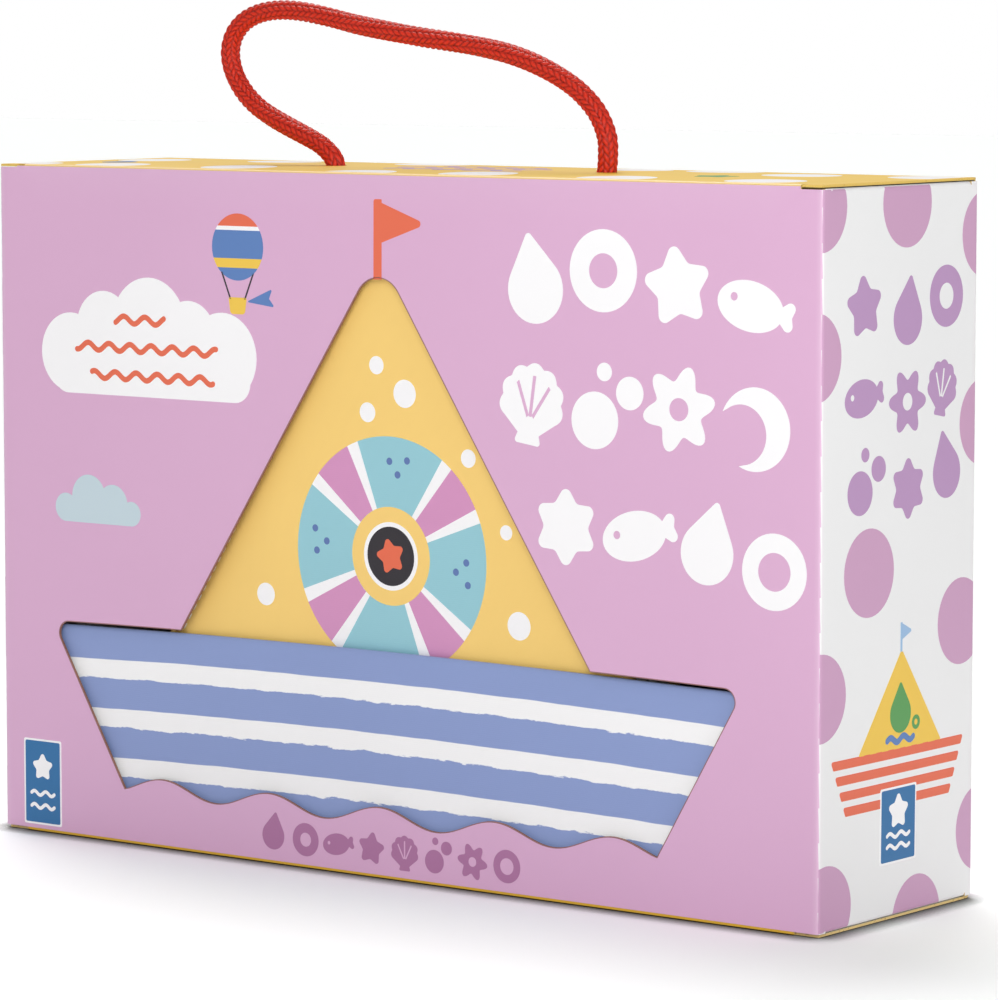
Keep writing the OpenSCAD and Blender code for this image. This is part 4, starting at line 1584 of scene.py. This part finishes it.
def seam_line(loop, depth, low, high):
    """The part of a loop's inner seam between two heights, as one open line."""
    points, inward = inward_from(loop, 1.2)
    inner = points + inward * depth
    kept = (inner[:, 1] > low) & (inner[:, 1] < high)
    start = next((i for i in range(len(kept)) if kept[i] and not kept[i - 1]), 0)
    turned, kept = np.roll(inner, -start, axis=0), np.roll(kept, -start)
    count = next((i for i in range(len(kept)) if not kept[i]), len(kept))
    return turned[:count]


def make_boat():
    hull = boat_outline()
    side_t = front_side_high.y - front_side_low.y
    front_place_of_pad = upright_place(front_side_low.y, front_side_high.y)
    fit(pad("boat_front_side", [hull], front_place_of_pad, side_t, BOAT_CLOTH),
        "boat_front")
    fit(pad("boat_back_side", [hull], upright_place(back_side_low.y, back_side_high.y),
            side_t, PLAIN_BLUE_CLOTH), "boat_back")
    strip_w = back_side_low.y - front_side_high.y
    strip = block("boat_strip", [hull, hole_loop(boat_outline(GUSSET_T, 40))],
                  upright_place(front_side_high.y, back_side_low.y), strip_w, WHITE_CLOTH, 0.4)
    fit(strip, "boat_gusset")
    foam = block("foam_float", [float_outline()], upright_place(float_low.y, float_high.y),
                 float_high.y - float_low.y, FOAM, 1.2)
    fit(foam, "boat_float")
    stitches("boat_front_seam", seam_line(hull, 2.4, 0, 48), front_place_of_pad, "box",
             0.43 * side_t)


def make_pocket():
    low, high, t = pocket_low, pocket_high, POCKET_T
    plan = [(low.x, low.y, 0), (low.x + t, low.y, 0), (low.x + t, high.y - t, 1),
            (high.x - t, high.y - t, 1), (high.x - t, low.y, 0), (high.x, low.y, 0),
            (high.x, high.y, 2.5), (low.x, high.y, 2.5)]
    middle = (low.z + high.z) / 2
    piece = block("book_pocket", [solid_loop(rounded(plan))],
                  lambda u, v, h: (u, v, middle + h), high.z - low.z, PLAIN_BLUE_CLOTH, 0.45)
    fit(piece, "sail_pocket")


PAGE_LAYERS = 3


def make_book():
    layer = book_outline()
    fit(pad("book_cover", [layer], book_place(0, COVER_T), COVER_T, SAIL_CLOTH),
        "book_front_cover")
    back_depth = COVER_T + PAGES_T
    fit(pad("book_cover_behind", [layer], book_place(back_depth, back_depth + COVER_T),
            COVER_T, SAIL_CLOTH), "book_back_cover")
    page_t = PAGES_T / PAGE_LAYERS
    depths = [COVER_T + page_t * i for i in range(PAGE_LAYERS)]
    pages = join([pad(f"leaf_{i}", [layer], book_place(depth, depth + page_t), page_t, PAGE_CLOTH)
                  for i, depth in enumerate(depths)])
    pages.name = "book_leaves"
    fit(pages, "book_pages")
    inward = SPINE_T * SAIL_SLANT
    zone = at_boat([(-book_half(SPINE_LOW), SPINE_LOW, 0.3),
                    (inward - book_half(SPINE_LOW), SPINE_LOW, 0.1),
                    (inward - book_half(SPINE_HIGH), SPINE_HIGH, 0.1),
                    (-book_half(SPINE_HIGH), SPINE_HIGH, 0.3)])
    book_t = 2 * COVER_T + PAGES_T
    strip = block("book_spine_strip", [zone], book_place(0, book_t), book_t, SAIL_CLOTH, 0.5)
    fit(strip, "book_spine")
    stitches("book_seam", seam_line(layer, 2.0, 0, 200), book_place(0, COVER_T), "box",
             0.41 * COVER_T)


make_boat()
make_pocket()
make_book()


def print_sail():
    place, half = book_place(0, COVER_T), COVER_T / 2 / 0.98
    cloths = {name: knit_cloth(name, colour) for name, colour in (
        ("teal_cloth", TEAL), ("rose_cloth", SAIL_PINK), ("white_ink_cloth", INK_WHITE),
        ("coral_cloth", CORAL), ("slate_cloth", SLATE), ("dark_cloth", DARK_INK))}

    def lay(name, loops, cloth, layer):
        piece = sheet_solid(name, loops, place, [cloths[cloth]], top=half + INK_H * layer,
                            bottom=half - INK_H, step=6)
        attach(piece, "box")

    def sector(turn, spread, outer, inner):
        return solid_loop(arc(outer, np.linspace(turn - spread, turn + spread, 14), x, z)
                          + arc(inner, np.linspace(turn + spread, turn - spread, 10), x, z))

    x, z, outer, inner = -1.5, 78.0, 29.0, 12.0
    lay("sail_ring", [circle(outer, x, z, 96), circle(inner, x, z)[::-1]], "teal_cloth", 1)
    turns = [math.radians(90 * i + 38) for i in range(4)]
    lay("sail_ring_edges", [sector(t, 0.32, outer, inner) for t in turns], "white_ink_cloth", 2)
    lay("sail_ring_bands", [sector(t, 0.2, outer, inner) for t in turns], "rose_cloth", 3)
    specks = [loop for t in (-7, 83, 173) for r, dt in ((20, 0), (23, 7), (24, -6))
              for loop in moved([circle(0.9, 0, 0, 16)], x + r * math.cos(math.radians(t + dt)),
                                z + r * math.sin(math.radians(t + dt)))]
    lay("sail_specks", specks, "slate_cloth", 2)
    spots = ((-8, 112.5, 2.4), (3.5, 117.5, 3.4), (-5, 124, 2.2), (37, 64, 3.4), (33.5, 86, 1.8),
             (-41, 66, 2.8), (22.5, 103, 2.2))
    lay("sail_bubbles", [circle(r, cx, cz, 32) for cx, cz, r in spots], "white_ink_cloth", 1)
    lay("sail_button_edge", [circle(8.3, x, z)], "white_ink_cloth", 1)
    lay("sail_button", [circle(7.2, x, z)], "dark_cloth", 2)
    lay("sail_star", moved(star(5.0), x, z, 14), "coral_cloth", 3)


print_sail()


# The floor, the sky and the lights

FLOOR_SHADE = 0.82
FLOOR_SEEN = (1.15, 1.17, 1.155)
# How far out from the carton the floor gets painted contact shade
CONTACT_SHADE_REACH = 0.007
SKY = 0.375


def make_floor():
    material = bpy.data.materials.new("floor")
    material.use_nodes = True
    tree = material.node_tree
    tree.nodes.clear()
    path = node(tree, "ShaderNodeLightPath").outputs["Is Camera Ray"]
    dull = node(tree, "ShaderNodeBsdfDiffuse", {"Color": (FLOOR_SHADE,) * 3 + (1,)})
    # Painted contact shade: the floor the camera sees is darkened by ambient occlusion near the
    # carton
    near = node(tree, "ShaderNodeAmbientOcclusion", {"Distance": CONTACT_SHADE_REACH}, samples=8)
    unshaded_share = maths(tree, "POWER", near.outputs["AO"], 2.6)
    seen = node(tree, "ShaderNodeBsdfDiffuse", {"Color": scaled(tree, FLOOR_SEEN, unshaded_share)})
    mixed = node(tree, "ShaderNodeMixShader", {0: path, 1: dull.outputs[0], 2: seen.outputs[0]})
    out = node(tree, "ShaderNodeOutputMaterial")
    tree.links.new(mixed.outputs[0], out.inputs["Surface"])
    half = 6.0
    mesh = bpy.data.meshes.new("floor")
    mesh.from_pydata([(-half, -half, 0), (half, -half, 0), (half, half, 0), (-half, half, 0)],
                     [], [(0, 1, 2, 3)])
    mesh.materials.append(material)
    add_object("floor", mesh)


def make_world():
    world = bpy.data.worlds.new("world")
    bpy.context.scene.world = world
    world.use_nodes = True
    tree = world.node_tree
    tree.nodes.clear()
    path = node(tree, "ShaderNodeLightPath").outputs
    seen = maths(tree, "MAXIMUM", path["Is Camera Ray"], path["Is Transmission Ray"])
    soft = node(tree, "ShaderNodeBackground", {"Color": (1, 1, 1, 1), "Strength": SKY})
    white = node(tree, "ShaderNodeBackground", {"Color": (1, 1, 1, 1), "Strength": 1.0})
    mixed = node(tree, "ShaderNodeMixShader", {0: seen, 1: soft.outputs[0], 2: white.outputs[0]})
    out = node(tree, "ShaderNodeOutputWorld")
    tree.links.new(mixed.outputs[0], out.inputs["Surface"])


def make_sun(name, towards, strength, angle):
    data = bpy.data.lights.new(name, "SUN")
    data.energy = strength
    data.angle = math.radians(angle)
    add_object(name, data, back=towards)


def make_panel(name, place, aim, size, power):
    """A soft square light at a place, aimed at another."""
    data = bpy.data.lights.new(name, "AREA")
    data.size = size
    data.energy = power
    add_object(name, data, place, Vector(place) - Vector(aim))


make_floor()
make_world()
make_sun("key", (-0.44, 0.37, 0.82), 1.7, 36)
make_sun("side_fill", (0.95, 0.0, 0.2), 0.63, 44)
make_panel("front_panel", (0.5, -0.8, 0.4), (0.0, -0.03, 0.09), 0.45, 4.15)

bpy.context.scene.view_settings.view_transform = "Standard"
